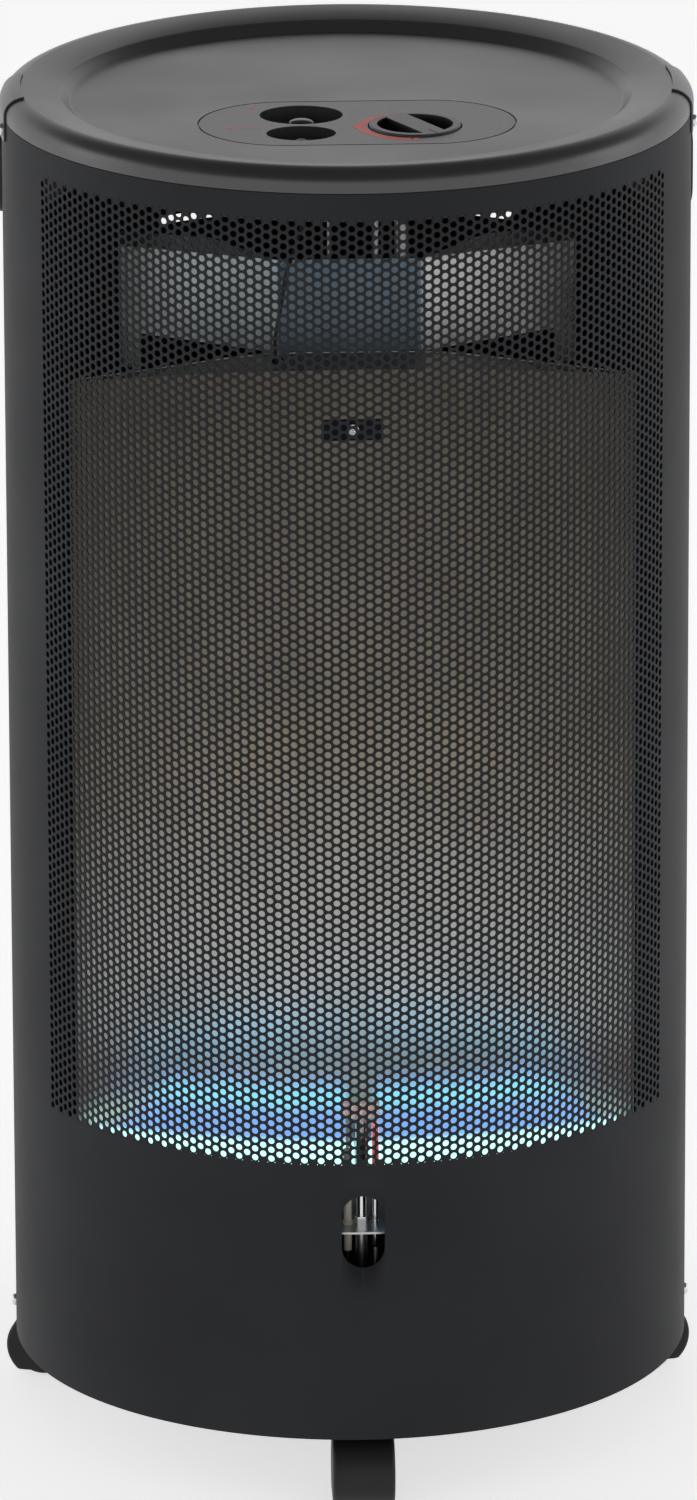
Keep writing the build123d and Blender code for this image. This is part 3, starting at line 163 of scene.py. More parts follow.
class HeaterStage(bpy.types.PropertyGroup):
    """Camera and light."""

    lens: FloatProperty(name="Lens", description="Focal length in mm on a 36 mm sensor", default=277.97)
    distance: FloatProperty(
        name="Distance", description="Level distance to the camera in m", unit="LENGTH", default=6.5132
    )
    height: FloatProperty(name="Height", description="Camera's height in m", unit="LENGTH", default=2.4667)
    pitch: FloatProperty(name="Pitch", description="Downward tilt in degrees", default=17.601)
    roll: FloatProperty(name="Roll", description="Tilt about the view in degrees", default=-0.188)
    azimuth: FloatProperty(name="Azimuth", description="Camera's side angle in degrees", default=-2.2)
    sky: FloatProperty(name="Sky", description="Strength of the light round the horizon", default=1.0)
    zenith: FloatProperty(name="Zenith", description="Strength of the light from above", default=0.13)
    ground: FloatProperty(name="Ground", description="Own light of the floor", default=0.62)
    side: FloatProperty(name="Side", description="Power of each side lamp in W", unit="POWER", default=8.0)
    floor: FloatVectorProperty(
        name="Floor", description="Floor's colour", subtype="COLOR", size=4, default=(0.92, 0.92, 0.92, 1)
    )


# ---------------------------------------------------------------- node helpers
def feed(tree, socket, value):
    """Links a socket to an output, or sets its own value."""
    if isinstance(value, bpy.types.NodeSocket):
        tree.links.new(value, socket)
    else:
        socket.default_value = value


def node(tree, kind, settings=None, **inputs):
    """A shader node with settings and inputs; underscores stand for spaces in input names."""
    made = tree.nodes.new(kind)
    for name, value in (settings or {}).items():
        setattr(made, name, value)
    for name, value in inputs.items():
        feed(tree, made.inputs[name.replace("_", " ")], value)
    return made


def maths(tree, operation, *values, clamp=False):
    made = tree.nodes.new("ShaderNodeMath")
    made.operation = operation
    made.use_clamp = clamp
    for socket, value in zip(made.inputs, values):
        feed(tree, socket, value)
    return made.outputs[0]


def mul(tree, first, second):
    return maths(tree, "MULTIPLY", first, second)


def add(tree, first, second):
    return maths(tree, "ADD", first, second)


def sub(tree, first, second):
    return maths(tree, "SUBTRACT", first, second)


def absolute(tree, value):
    return maths(tree, "ABSOLUTE", value)


def mix_colour(tree, factor, first, second, blend="MIX"):
    made = tree.nodes.new("ShaderNodeMix")
    made.data_type = "RGBA"
    made.blend_type = blend
    feed(tree, made.inputs["Factor"], factor)
    feed(tree, made.inputs["A"], first)
    feed(tree, made.inputs["B"], second)
    return made.outputs["Result"]


def span(tree, value, low, high, to_low=0.0, to_high=1.0, smooth=False):
    """Maps a value from one range to another, clamped."""
    made = tree.nodes.new("ShaderNodeMapRange")
    made.interpolation_type = "SMOOTHSTEP" if smooth else "LINEAR"
    for socket, number in zip(made.inputs, (value, low, high, to_low, to_high)):
        feed(tree, socket, number)
    return made.outputs[0]


def times(tree, first, second):
    return mix_colour(tree, 1.0, first, second, "MULTIPLY")


def noise(tree, vector, scale, detail=2.0, roughness=0.5):
    made = node(tree, "ShaderNodeTexNoise", Scale=scale, Detail=detail, Roughness=roughness, Vector=vector)
    return made.outputs["Fac"]


def place(tree):
    """The surface point in the object's own metres."""
    return tree.nodes.new("ShaderNodeTexCoord").outputs["Object"]


def stretched(tree, vector, scale):
    return node(tree, "ShaderNodeMapping", Vector=vector, Scale=scale).outputs["Vector"]


def split(tree, vector):
    """The X, Y and Z outputs of a vector."""
    return node(tree, "ShaderNodeSeparateXYZ", Vector=vector).outputs


def across_and_up(tree):
    """Sideways place and height of the surface point, in metres."""
    parts = split(tree, place(tree))
    return parts["X"], parts["Z"]


# ---------------------------------------------------------------- shared effects
def effect(name, build, **extra):
    """A node group, made once. build gets its tree and inputs and returns colour, roughness and height."""
    if name in bpy.data.node_groups:
        return bpy.data.node_groups[name]
    tree = bpy.data.node_groups.new(name, "ShaderNodeTree")
    kinds = {"Colour": "NodeSocketColor", "Roughness": "NodeSocketFloat", "Height": "NodeSocketFloat"}
    for label, default in {"Colour": (0.5, 0.5, 0.5, 1), "Roughness": 0.5, **extra}.items():
        kind = kinds.get(label, "NodeSocketFloat")
        tree.interface.new_socket(label, in_out="INPUT", socket_type=kind).default_value = default
    for label, kind in kinds.items():
        tree.interface.new_socket(label, in_out="OUTPUT", socket_type=kind)
    given = tree.nodes.new("NodeGroupInput").outputs
    leave = tree.nodes.new("NodeGroupOutput").inputs
    for label, value in zip(kinds, build(tree, given)):
        tree.links.new(value, leave[label])
    return tree


def powder_grain():
    """Fine orange peel, faint clouding and dust on faces that look up."""

    def build(tree, given):
        point = place(tree)
        peel = noise(tree, point, given["Grain"], 3.0)
        clouds = noise(tree, point, 9.0, 3.0)
        up = split(tree, tree.nodes.new("ShaderNodeNewGeometry").outputs["Normal"])["Z"]
        specks = span(tree, noise(tree, point, 900.0, 1.0), 0.62, 0.72)
        dust = mul(tree, span(tree, up, 0.3, 1.0), given["Dust"])
        dust = mul(tree, dust, add(tree, span(tree, clouds, 0.35, 0.7), specks))
        shade = mix_colour(tree, span(tree, clouds, 0.3, 0.7), given["Colour"], (0, 0, 0, 1))
        base = mix_colour(tree, 0.18, given["Colour"], shade)
        dusty = maths(tree, "MULTIPLY", dust, 0.5, clamp=True)
        colour = mix_colour(tree, dusty, base, (0.25, 0.24, 0.22, 1))
        rough = add(tree, given["Roughness"], span(tree, clouds, 0.3, 0.7, -0.03, 0.04))
        rough = add(tree, rough, span(tree, peel, 0.3, 0.7, -0.04, 0.04))
        return colour, rough, peel

    return effect("Powder Grain", build, Grain=1400.0, Dust=0.0)


def brushed_sheet():
    """Long rolling marks and dull patches of plain sheet metal."""

    def build(tree, given):
        point = place(tree)
        marks = noise(tree, stretched(tree, point, (260.0, 260.0, 9.0)), 1.0, 4.0)
        patches = noise(tree, point, 14.0, 4.0, 0.6)
        dull = mix_colour(tree, 0.45, given["Colour"], (0.12, 0.12, 0.12, 1))
        worn = mul(tree, span(tree, patches, 0.45, 0.7), given["Tarnish"])
        colour = mix_colour(tree, worn, given["Colour"], dull)
        streaked = mix_colour(tree, span(tree, marks, 0.3, 0.7, 0.0, 0.35), colour, dull)
        rough = add(tree, given["Roughness"], span(tree, patches, 0.3, 0.7, -0.06, 0.12))
        return streaked, rough, marks

    return effect("Brushed Sheet", build, Tarnish=0.5)


def moulded_grain():
    """Spark-eroded texture of moulded plastic."""

    def build(tree, given):
        point = place(tree)
        pits = noise(tree, point, given["Grain"])
        clouds = noise(tree, point, 25.0)
        cloudy = span(tree, clouds, 0.3, 0.7, 0.0, 0.25)
        grey = mix_colour(tree, cloudy, given["Colour"], (0.03, 0.03, 0.032, 1))
        rough = add(tree, given["Roughness"], span(tree, pits, 0.3, 0.7, -0.05, 0.07))
        return grey, rough, pits

    return effect("Moulded Grain", build, Grain=1800.0)


# ---------------------------------------------------------------- tints: painted shade and light, and smoke
def painted_knob_shade(tree, colour):
    """Painted shade: dark below the knob's top face, in its recesses and on its sides."""
    dark_below, full_above = 2.2, 1.2
    z = across_and_up(tree)[1]
    top = span(tree, z, (KNOB_HIGH.z - dark_below) * MM, (KNOB_HIGH.z - full_above) * MM)
    return mix_colour(tree, top, (0.002, 0.002, 0.002, 1), colour)


def smoke_and_painted_flame_light(tree, colour):
    """Painted light and shade over smoke stains: brighter above the flames as if lit by them, darker towards
    the top and along the sides as painted shade; sooty at the foot, pale above the flames and brown at the
    top.
    """
    soot_z, clean_z, pale_z, cream_z, tan_z, dim_z, top_z = 0.232, 0.266, 0.30, 0.36, 0.42, 0.46, 0.65
    side_x, edge_x = 0.156, 0.163
    soot, pale = (0.72, 0.56, 0.52, 1), (1.0, 1.0, 0.97, 1)
    cream, tan = (1.0, 0.96, 0.88, 1), (1.0, 0.88, 0.70, 1)
    x, z = across_and_up(tree)
    # painted light and shade: brighter just above the flames, darker towards the top and at the sides
    shade = span(tree, z, pale_z, dim_z, 1.42, 0.68)
    shade = add(tree, shade, span(tree, z, dim_z, top_z, 0.0, -0.36))
    side = span(tree, absolute(tree, x), side_x, edge_x, 1.0, 0.8, smooth=True)
    shade = mul(tree, shade, side)
    # the hue: sooty at the foot, cream and tan higher up
    hue = mix_colour(tree, span(tree, z, soot_z, clean_z, smooth=True), soot, pale)
    hue = mix_colour(tree, span(tree, z, pale_z, cream_z), hue, cream)
    hue = mix_colour(tree, span(tree, z, cream_z, tan_z), hue, tan)
    return times(tree, colour, times(tree, hue, shade))


def painted_facet_shading(tree, colour):
    """Painted light and shade on the three facets: lit greenish on the left, a dark blue painted shade in
    the middle and warm on the right.
    """
    fold_x, flat_x, near_x, far_x = 0.0405, 0.0430, 0.045, 0.12
    x = across_and_up(tree)[0]
    left = mix_colour(tree, span(tree, x, -far_x, -near_x), (0.92, 1.0, 0.98, 1), (0.56, 0.66, 0.68, 1))
    right = mix_colour(tree, span(tree, x, near_x, far_x), (1.0, 1.0, 1.0, 1), (0.90, 0.88, 0.84, 1))
    outer = mix_colour(tree, span(tree, x, -0.001, 0.001), left, right)
    middle = span(tree, absolute(tree, x), fold_x, flat_x)
    return times(tree, colour, mix_colour(tree, middle, (0.20, 0.27, 0.34, 1), outer))


# ---------------------------------------------------------------- finishes
RELIEF_MM = 0.05
# name: effect, colour or name of the paint setting, roughness, other inputs of the effect, look
FINISHES = {
    "black powder coat": (powder_grain, "casing", 0.55, {}, {"bump": 0.25, "gloss": 0.14}),
    "satin lid coat": (powder_grain, "lid", 0.35, {"Dust": 0.06}, {"bump": 0.2, "gloss": 1.0}),
    "black moulded plastic": (moulded_grain, "plastic", 0.5, {}, {"gloss": 0.3, "edge": 0.5}),
    "satin panel plastic": (moulded_grain, "lid", 0.36, {}, {"gloss": 1.0, "edge": 0.4}),
    # its tint paints shade below the knob's top face
    "satin knob plastic": (moulded_grain, "lid", 0.38, {}, {"gloss": 0.8, "edge": 0.4, "tint": painted_knob_shade}),
    "gloss black plastic": (moulded_grain, "plastic", 0.16, {}, {"bump": 0.03, "edge": 0.6}),
    "red print": (moulded_grain, "print_red", 0.45, {}, {}),
    "ceramic sleeve": (moulded_grain, (0.72, 0.66, 0.55, 1), 0.55, {}, {}),
    "silicone sleeve": (moulded_grain, (0.02, 0.02, 0.02, 1), 0.6, {}, {}),
    "zinc-plated sheet": (brushed_sheet, (0.55, 0.56, 0.57, 1), 0.34, {"Tarnish": 0.5}, {}),
    # nearly black metal with a blue cast
    "blue-black sheet": (brushed_sheet, (0.010, 0.014, 0.022, 1), 0.5, {"Tarnish": 0.1}, {}),
    # paints flame light and shade on the reflector, over its smoke stains
    "smoked satin sheet": (brushed_sheet, (0.74, 0.73, 0.72, 1), 0.40, {"Tarnish": 0.35}, {"tint": smoke_and_painted_flame_light}),
    # painted light and shade, one tone for each facet of the shield
    "heat-tinted galvanised sheet": (brushed_sheet, (1, 1, 1, 1), 0.38, {"Tarnish": 0.15}, {"tint": painted_facet_shading}),
    "heat-dulled sheet": (brushed_sheet, (0.34, 0.33, 0.34, 1), 0.5, {"Tarnish": 0.8}, {}),
    "bright nickel": (brushed_sheet, (0.78, 0.78, 0.78, 1), 0.15, {"Tarnish": 0.15}, {}),
    "turned brass": (brushed_sheet, (0.70, 0.50, 0.22, 1), 0.28, {"Tarnish": 0.5}, {}),
    "cast aluminium": (brushed_sheet, (0.60, 0.60, 0.60, 1), 0.5, {"Tarnish": 0.6}, {"bump": 0.3}),
}


def finish(name):
    """The material of this name from the table above, made once. edge softens sharp edges by so many mm."""
    if name in bpy.data.materials:
        return bpy.data.materials[name]
    group, colour, roughness, extra, look = FINISHES[name]
    if isinstance(colour, str):
        colour = getattr(bpy.context.scene.heater_paint, colour)
    made = bpy.data.materials.new(name)
    made.use_nodes = True
    tree = made.node_tree
    shader = tree.nodes["Principled BSDF"]
    box = tree.nodes.new("ShaderNodeGroup")
    box.node_tree = group()
    for label, value in {"Colour": colour, "Roughness": roughness, **extra}.items():
        box.inputs[label].default_value = value
    base = box.outputs["Colour"]
    tree.links.new(look["tint"](tree, base) if "tint" in look else base, shader.inputs["Base Color"])
    tree.links.new(box.outputs["Roughness"], shader.inputs["Roughness"])
    relief = node(tree, "ShaderNodeBump", Strength=look.get("bump", 0.1), Distance=RELIEF_MM * MM)
    tree.links.new(box.outputs["Height"], relief.inputs["Height"])
    if "edge" in look:
        soft = node(tree, "ShaderNodeBevel", {"samples": 4}, Radius=look["edge"] * MM)
        tree.links.new(soft.outputs["Normal"], relief.inputs["Normal"])
    tree.links.new(relief.outputs["Normal"], shader.inputs["Normal"])
    shader.inputs["Metallic"].default_value = 1.0 if group is brushed_sheet else 0.0
    shader.inputs["Specular IOR Level"].default_value = look.get("gloss", 0.5)
    return made


def glowing(name, colour, low, high, strength):
    """Bright metal whose upper end glows between two heights in metres."""
    made = finish("bright nickel").copy()
    made.name = name
    tree = made.node_tree
    glow = span(tree, across_and_up(tree)[1], low, high, smooth=True)
    heat = mix_colour(tree, glow, (0, 0, 0, 1), colour)
    shader = tree.nodes["Principled BSDF"]
    tree.links.new(heat, shader.inputs["Emission Color"])
    shader.inputs["Emission Strength"].default_value = strength
    return made


def flame_light(props):
    """Light of the flames: bright foot, blue body, pale ridge, and a soft top that sinks at the ends."""
    flicker, end_x, sink = 0.010, 0.100, 0.040
    foot_z, body_z, ridge_z, blend_z, tip_z, fade_z = 0.013, 0.020, 0.030, 0.042, 0.056, 0.040
    gap_blend, body_cover, ridge_cover, foot_cover, ridge_share = 9.0, 0.58, 0.08, 0.62, 0.75
    made = bpy.data.materials.new("gas flame")
    made.use_nodes = True
    tree = made.node_tree
    shader = tree.nodes["Principled BSDF"]
    x, z = across_and_up(tree)
    still = sub(tree, z, BURNER_HIGH.z * MM)
    wave = sub(tree, noise(tree, stretched(tree, place(tree), (60.0, 0.0, 4.0)), 1.0), 0.5)
    rise = add(tree, still, mul(tree, wave, flicker))
    end = span(tree, absolute(tree, x), end_x, props.half_span * MM, smooth=True)
    sunk = add(tree, rise, mul(tree, end, sink))
    body_top = span(tree, sunk, fade_z, props.height * MM, 1.0, 0.0, smooth=True)
    climb = span(tree, rise, ridge_z, blend_z, smooth=True)
    ridge = mul(tree, climb, span(tree, rise, blend_z, tip_z, 1.0, 0.0, smooth=True))
    ridge = mul(tree, ridge, sub(tree, 1.0, end))
    base = span(tree, still, foot_z, body_z, 1.0, 0.0, smooth=True)
    near = absolute(tree, sub(tree, x, props.gap_x * MM))
    clear = span(tree, near, props.gap * MM, (props.gap + gap_blend) * MM, smooth=True)
    body = mix_colour(tree, mul(tree, ridge, ridge_share), props.body, props.ridge)
    colour = mix_colour(tree, base, body, props.base)
    cover = add(tree, body_cover, mul(tree, ridge, ridge_cover))
    cover = mul(tree, mul(tree, body_top, cover), clear)
    cover = maths(tree, "MAXIMUM", cover, mul(tree, base, foot_cover))
    tree.links.new(colour, shader.inputs["Emission Color"])
    tree.links.new(cover, shader.inputs["Alpha"])
    shader.inputs["Base Color"].default_value = (0, 0, 0, 1)
    shader.inputs["Roughness"].default_value = 1.0
    shader.inputs["Specular IOR Level"].default_value = 0.0
    shader.inputs["Emission Strength"].default_value = 1.7
    return made


# ---------------------------------------------------------------- mesh helpers
def polar(radius, azimuth):
    """A point in mm at this azimuth in degrees from the front."""
    angle = math.radians(azimuth)
    return radius * math.sin(angle), -radius * math.cos(angle)


def mesh_of(name, points, faces):
    """A mesh in metres from points in mm."""
    mesh = bpy.data.meshes.new(name)
    mesh.from_pydata([tuple(c * MM for c in point) for point in points], [], faces)
    mesh.validate()
    mesh.update()
    return mesh


def tidy(mesh, sharp=35.0):
    """Makes the faces look outwards and shades them smooth up to an angle."""
    work = bmesh.new()
    work.from_mesh(mesh)
    bmesh.ops.remove_doubles(work, verts=work.verts, dist=1e-6)
    bmesh.ops.recalc_face_normals(work, faces=work.faces)
    work.to_mesh(mesh)
    work.free()
    mesh.shade_smooth()
    mesh.set_sharp_from_angle(angle=math.radians(sharp))
    return mesh


def piece(name, mesh, body, material, replaces=()):
    """Puts a mesh in the scene as one piece of the heater."""
    made = bpy.data.objects.new(name, mesh)
    bpy.context.scene.collection.objects.link(made)
    mesh.materials.clear()
    mesh.materials.append(material)
    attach(made, body)
    if replaces:
        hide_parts(*replaces)
    return made


# finish and its nodes, by operator
COATS = {
    "casing": {"black powder coat": ("side_panel_left", "side_panel_right", "rear_door", "base_plate")},
    "straps": {"satin lid coat": ("lid_straps",), "bright nickel": ("casing_screws",)},
    "handles": {"black moulded plastic": ("side_grip_left", "side_grip_right", "door_pull")},
    "door_fittings": {
        "zinc-plated sheet": ("door_hinge_leaves", "frame_hinge_leaves", "hinge_pins"),
        "black moulded plastic": ("door_magnets",),
    },
    "panel": {"satin panel plastic": ("control_panel",)},
    "knob": {"satin knob plastic": ("gas_knob",), "zinc-plated sheet": ("valve_shaft",)},
    "gas_train": {
        "zinc-plated sheet": ("valve_bracket",),
        "black moulded plastic": ("piezo_igniter",),
        "turned brass": ("gas_inlet_nozzle", "injector_holder"),
        "cast aluminium": ("gas_valve", "main_gas_pipe", "pilot_gas_pipe", "thermocouple_lead"),
        "silicone sleeve": ("ignition_wire",),
    },
    "reflector": {
        "smoked satin sheet": ("combustion_reflector",),
        "blue-black sheet": ("reflector_bracket",),
        "bright nickel": ("reflector_screw",),
    },
    "shield": {
        "heat-tinted galvanised sheet": ("upper_heat_shield",),
        "blue-black sheet": ("bay_partition",),
    },
    "burner": {"heat-dulled sheet": ("burner",), "zinc-plated sheet": ("burner_tray",)},
    "pilot": {"zinc-plated sheet": ("pilot_fitting",), "ceramic sleeve": ("ignition_electrode",)},
}


def coat_node(name, material):
    """Gives a carried-over node its material."""
    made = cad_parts[name]
    made.data.materials.clear()
    made.data.materials.append(material)


def coat(group):
    """Gives a group of carried-over nodes their finishes."""
    for name, nodes in COATS[group].items():
        for node_name in nodes:
            coat_node(node_name, finish(name))


def coat_casters():
    """Hoods and wheels are plastic; stems, rings and axles are plated."""
    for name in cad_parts:
        if name.startswith("caster_"):
            plastic = name.startswith(("caster_hood", "caster_wheel"))
            coat_node(name, finish("black moulded plastic" if plastic else "zinc-plated sheet"))


def rounded(corners, radii, steps=6):
    """A polyline with its inner corners rounded; the ends stay."""
    points = [corners[0]]
    for before, corner, after, radius in zip(corners, corners[1:], corners[2:], radii):
        corner, before, after = Vector(corner), Vector(before), Vector(after)
        to_before = (before - corner).normalized()
        to_after = (after - corner).normalized()
        half = to_before.angle(to_after) / 2
        if radius <= 0 or half > math.radians(89.5):
            points.append(tuple(corner))
            continue
        back = radius / math.tan(half)
        centre = corner + (to_before + to_after).normalized() * radius / math.sin(half)
        first = corner + to_before * back - centre
        last = corner + to_after * back - centre
        for step in range(steps + 1):
            way = first.lerp(last, step / steps)
            points.append(tuple(centre + way.normalized() * radius))
    points.append(corners[-1])
    return points


def lathe(profile, steps, centre=(0, 0)):
    """Points and faces of an open profile of radius and height, turned round an upright axis."""
    points, faces = [], []
    rows = len(profile)
    for step in range(steps):
        turn = 2 * math.pi * step / steps
        for radius, z in profile:
            points.append((centre[0] + radius * math.sin(turn), centre[1] - radius * math.cos(turn), z))
    for step in range(steps):
        here, there = step * rows, (step + 1) % steps * rows
        faces += [(here + row, here + row + 1, there + row + 1, there + row) for row in range(rows - 1)]
    return points, faces


def turned(name, profile, steps, centre):
    """A solid turned from a profile that starts and ends near the axis, where small discs close it."""
    points, faces = lathe(profile, steps, centre)
    rows = len(profile)
    faces.append(tuple(step * rows for step in range(steps)))
    faces.append(tuple(step * rows + rows - 1 for step in reversed(range(steps))))
    return tidy(mesh_of(name, points, faces))


# ---------------------------------------------------------------- casing
def lattice_cells(props):
    """Azimuth and height of each hole, column by column."""
    cells = []
    for column in range(props.columns):
        azimuth = (column - (props.columns - 1) / 2) * props.pitch_az
        start = props.first_z + (column % 2) * props.pitch_z / 2
        cells.append([(azimuth, start + row * props.pitch_z) for row in range(props.rows)])
    return cells


def cell_outline(props):
    """Outline of one hexagonal cell as twelve offsets in mm, corners and middles in turn."""
    across = math.radians(props.pitch_az) * CASE_R
    half = props.pitch_z / 2
    near = (across**2 - half**2) / (2 * across)
    far = (across**2 + half**2) / (2 * across)
    corners = [(far, 0), (near, half), (-near, half), (-far, 0), (-near, -half), (near, -half)]
    outline = []
    for here, after in zip(corners, corners[1:] + corners[:1]):
        outline += [here, ((here[0] + after[0]) / 2, (here[1] + after[1]) / 2)]
    return outline


def grille_frame(props):
    """Azimuth and height limits of the perforated field."""
    far = cell_outline(props)[0][0] / CASE_R
    edge = (props.columns - 1) / 2 * props.pitch_az + math.degrees(far)
    low = props.first_z - props.pitch_z / 2
    high = props.first_z + props.rows * props.pitch_z
    return edge, low, high


def grille_band(props, first, last):
    """A closed mesh of the perforated sheet between two columns, with true round normals."""
    outline = cell_outline(props)
    hole = props.hole / 2
    ring = [math.radians(360 / RING * step) for step in range(RING)]
    ring = [(hole * math.cos(turn), hole * math.sin(turn)) for turn in ring]
    edge, low, high = grille_frame(props)
    last_column = props.columns - 1
    ends = {0: (low, -1), props.rows - 1: (high, 1)}
    cells = []
    for index, column in enumerate(lattice_cells(props)[first:last], first):
        for row, (azimuth, z) in enumerate(column):
            corner_ids = []
            for dx, dz in outline:
                x, y = azimuth + math.degrees(dx / CASE_R), z + dz
                if (index == 0 and dx < -TINY) or (index == last_column and dx > TINY):
                    x = math.copysign(edge, dx) if abs(dx) > props.hole / 4 else x
                if row in ends:
                    limit, way = ends[row]
                    beyond = dz * way > TINY if index % 2 == (way < 0) else abs(dz) < TINY < abs(dx)
                    y = limit if beyond else y
                corner_ids.append((round(x, 5), round(y, 4)))
            cells.append((azimuth, z, corner_ids))
    shared = {}
    points, radial = [], []

    def point(azimuth, z, radius):
        points.append((*polar(radius, azimuth), z))
        radial.append(azimuth)
        return len(points) - 1

    def shared_point(key, layer, radius):
        if (key, layer) not in shared:
            shared[key, layer] = point(key[0], key[1], radius)
        return shared[key, layer]

    radii = (CASE_R, CASE_R - props.sheet)
    faces, sides, borders = [], [], {}
    for azimuth, z, keys in cells:
        rings, outers = [], []
        for layer, radius in enumerate(radii):
            rings.append([point(azimuth + math.degrees(dx / CASE_R), z + dz, radius) for dx, dz in ring])
            outers.append([shared_point(key, layer, radius) for key in keys])
        for here in range(RING):
            after = (here + 1) % RING
            if outers[0][here] == outers[0][after]:
                faces.append((rings[0][here], outers[0][here], rings[0][after]))
                faces.append((rings[1][after], outers[1][here], rings[1][here]))
            else:
                faces.append((rings[0][here], outers[0][here], outers[0][after], rings[0][after]))
                faces.append((rings[1][after], outers[1][after], outers[1][here], rings[1][here]))
            sides += ["out", "in"]
            faces.append((rings[0][after], rings[1][after], rings[1][here], rings[0][here]))
            sides.append("wall")
            borders[outers[0][here], outers[0][after]] = (outers[1][here], outers[1][after])
    for (here, after), (inner_here, inner_after) in borders.items():
        if here != after and (after, here) not in borders:
            faces.append((after, here, inner_here, inner_after))
            sides.append("wall")
    return round_sheet("front grille", points, faces, sides, radial)


def round_sheet(name, points, faces, sides, azimuths):
    """A mesh whose outer and inner faces get the exact normals of a cylinder."""
    mesh = bpy.data.meshes.new(name)
    mesh.from_pydata([(x * MM, y * MM, z * MM) for x, y, z in points], [], faces)
    mesh.update()
    out = np.zeros((len(points), 3), np.float32)
    turn = np.radians(np.array(azimuths))
    out[:, 0], out[:, 1] = np.sin(turn), -np.cos(turn)
    corners = np.zeros(len(mesh.loops), np.int32)
    mesh.loops.foreach_get("vertex_index", corners)
    starts = np.zeros(len(mesh.polygons), np.int32)
    totals = np.zeros(len(mesh.polygons), np.int32)
    mesh.polygons.foreach_get("loop_start", starts)
    mesh.polygons.foreach_get("loop_total", totals)
    flat = np.zeros(len(mesh.polygons) * 3, np.float32)
    mesh.polygons.foreach_get("normal", flat)
    sign = np.array([{"out": 1.0, "in": -1.0, "wall": 0.0}[side] for side in sides], np.float32)
    face_of = np.repeat(np.arange(len(starts)), totals)
    normals = out[corners] * sign[face_of][:, None]
    wall = sign[face_of] == 0
    normals[wall] = flat.reshape(-1, 3)[face_of[wall]]
    mesh.shade_smooth()
    mesh.normals_split_custom_set(normals.tolist())
    return mesh


def plain_sheet(props):
    """The unperforated border of the front shell, one grid of quads round the perforated field."""
    outline = cell_outline(props)
    edge, low, high = grille_frame(props)
    turns = set()
    for column in lattice_cells(props):
        turns |= {round(column[0][0] + math.degrees(dx / CASE_R), 5) for dx, _ in outline}
    clear, border_columns, near_edge = 0.2, 27, edge + 1e-4
    turns = sorted(t for t in turns if abs(t) < edge - clear)
    border = np.linspace(edge, props.edge_az, border_columns)
    turns = sorted([round(-b, 5) for b in border] + turns + [round(b, 5) for b in border])
    heights = [SHELL_LOW.z, (SHELL_LOW.z + low) / 2, low, high, SEAM_Z]
    field_row = 2
    inside = {index for index, t in enumerate(turns) if abs(t) <= near_edge}
    inside.remove(max(inside))
    points, azimuths, faces, sides = [], [], [], []
    index_of = {}
    for layer, radius in enumerate((CASE_R, CASE_R - props.sheet)):
        for row, z in enumerate(heights):
            for column, azimuth in enumerate(turns):
                index_of[layer, row, column] = len(points)
                points.append((*polar(radius, azimuth), z))
                azimuths.append(azimuth)
    edges = {}
    for row in range(len(heights) - 1):
        for column in range(len(turns) - 1):
            if row == field_row and column in inside:
                continue
            loop = [(row, column), (row, column + 1), (row + 1, column + 1), (row + 1, column)]
            front = [index_of[0, r, c] for r, c in loop]
            back = [index_of[1, r, c] for r, c in loop]
            faces += [tuple(front), tuple(reversed(back))]
            sides += ["out", "in"]
            for a in range(4):
                b = (a + 1) % 4
                edges[front[a], front[b]] = (back[a], back[b])
    for (a, b), (c, d) in edges.items():
        if (b, a) not in edges:
            faces.append((b, a, c, d))
            sides.append("wall")
    return round_sheet("front shell", points, faces, sides, azimuths)


def stadium_loop(width, height, steps=24):
    """An oblong outline of two half circles, as points about its middle."""
    radius = min(width, height) / 2
    reach = max(width, height) / 2 - radius
    loop = []
    for end in (0, 1):
        for step in range(steps + 1):
            angle = math.pi * (end + step / steps)
            x = radius * math.cos(angle)
            y = radius * math.sin(angle) + (reach if end == 0 else -reach)
            loop.append((x, y) if height >= width else (y, -x))
    return loop


def cut(target, cutter_mesh):
    """Cuts a closed shape out of a piece, which keeps the result as its mesh."""
    cutter = bpy.data.objects.new("cutter", cutter_mesh)
    bpy.context.scene.collection.objects.link(cutter)
    change = target.modifiers.new("cut", "BOOLEAN")
    change.operation = "DIFFERENCE"
    change.solver = "EXACT"
    change.object = cutter
    bpy.context.view_layer.update()
    graph = bpy.context.evaluated_depsgraph_get()
    result = bpy.data.meshes.new_from_object(target.evaluated_get(graph))
    old = target.data
    target.modifiers.clear()
    target.data = result
    bpy.data.meshes.remove(old)
    bpy.data.objects.remove(cutter)


def prism(outline, low, high, place_point):
    """A closed prism from a loop; place_point turns loop x, loop y and depth into a point in mm."""
    count = len(outline)
    points = [place_point(x, y, low) for x, y in outline] + [place_point(x, y, high) for x, y in outline]
    faces = [tuple(range(count)), tuple(reversed(range(count, 2 * count)))]
    faces += [(i, (i + 1) % count, (i + 1) % count + count, i + count) for i in range(count)]
    return tidy(mesh_of("prism", points, faces), 30.0)


def upright(name, outline, low, high):
    """A closed upright prism over a loop of x and y."""
    mesh = prism(outline, low, high, lambda x, y, z: (x, y, z))
    mesh.name = name
    return mesh


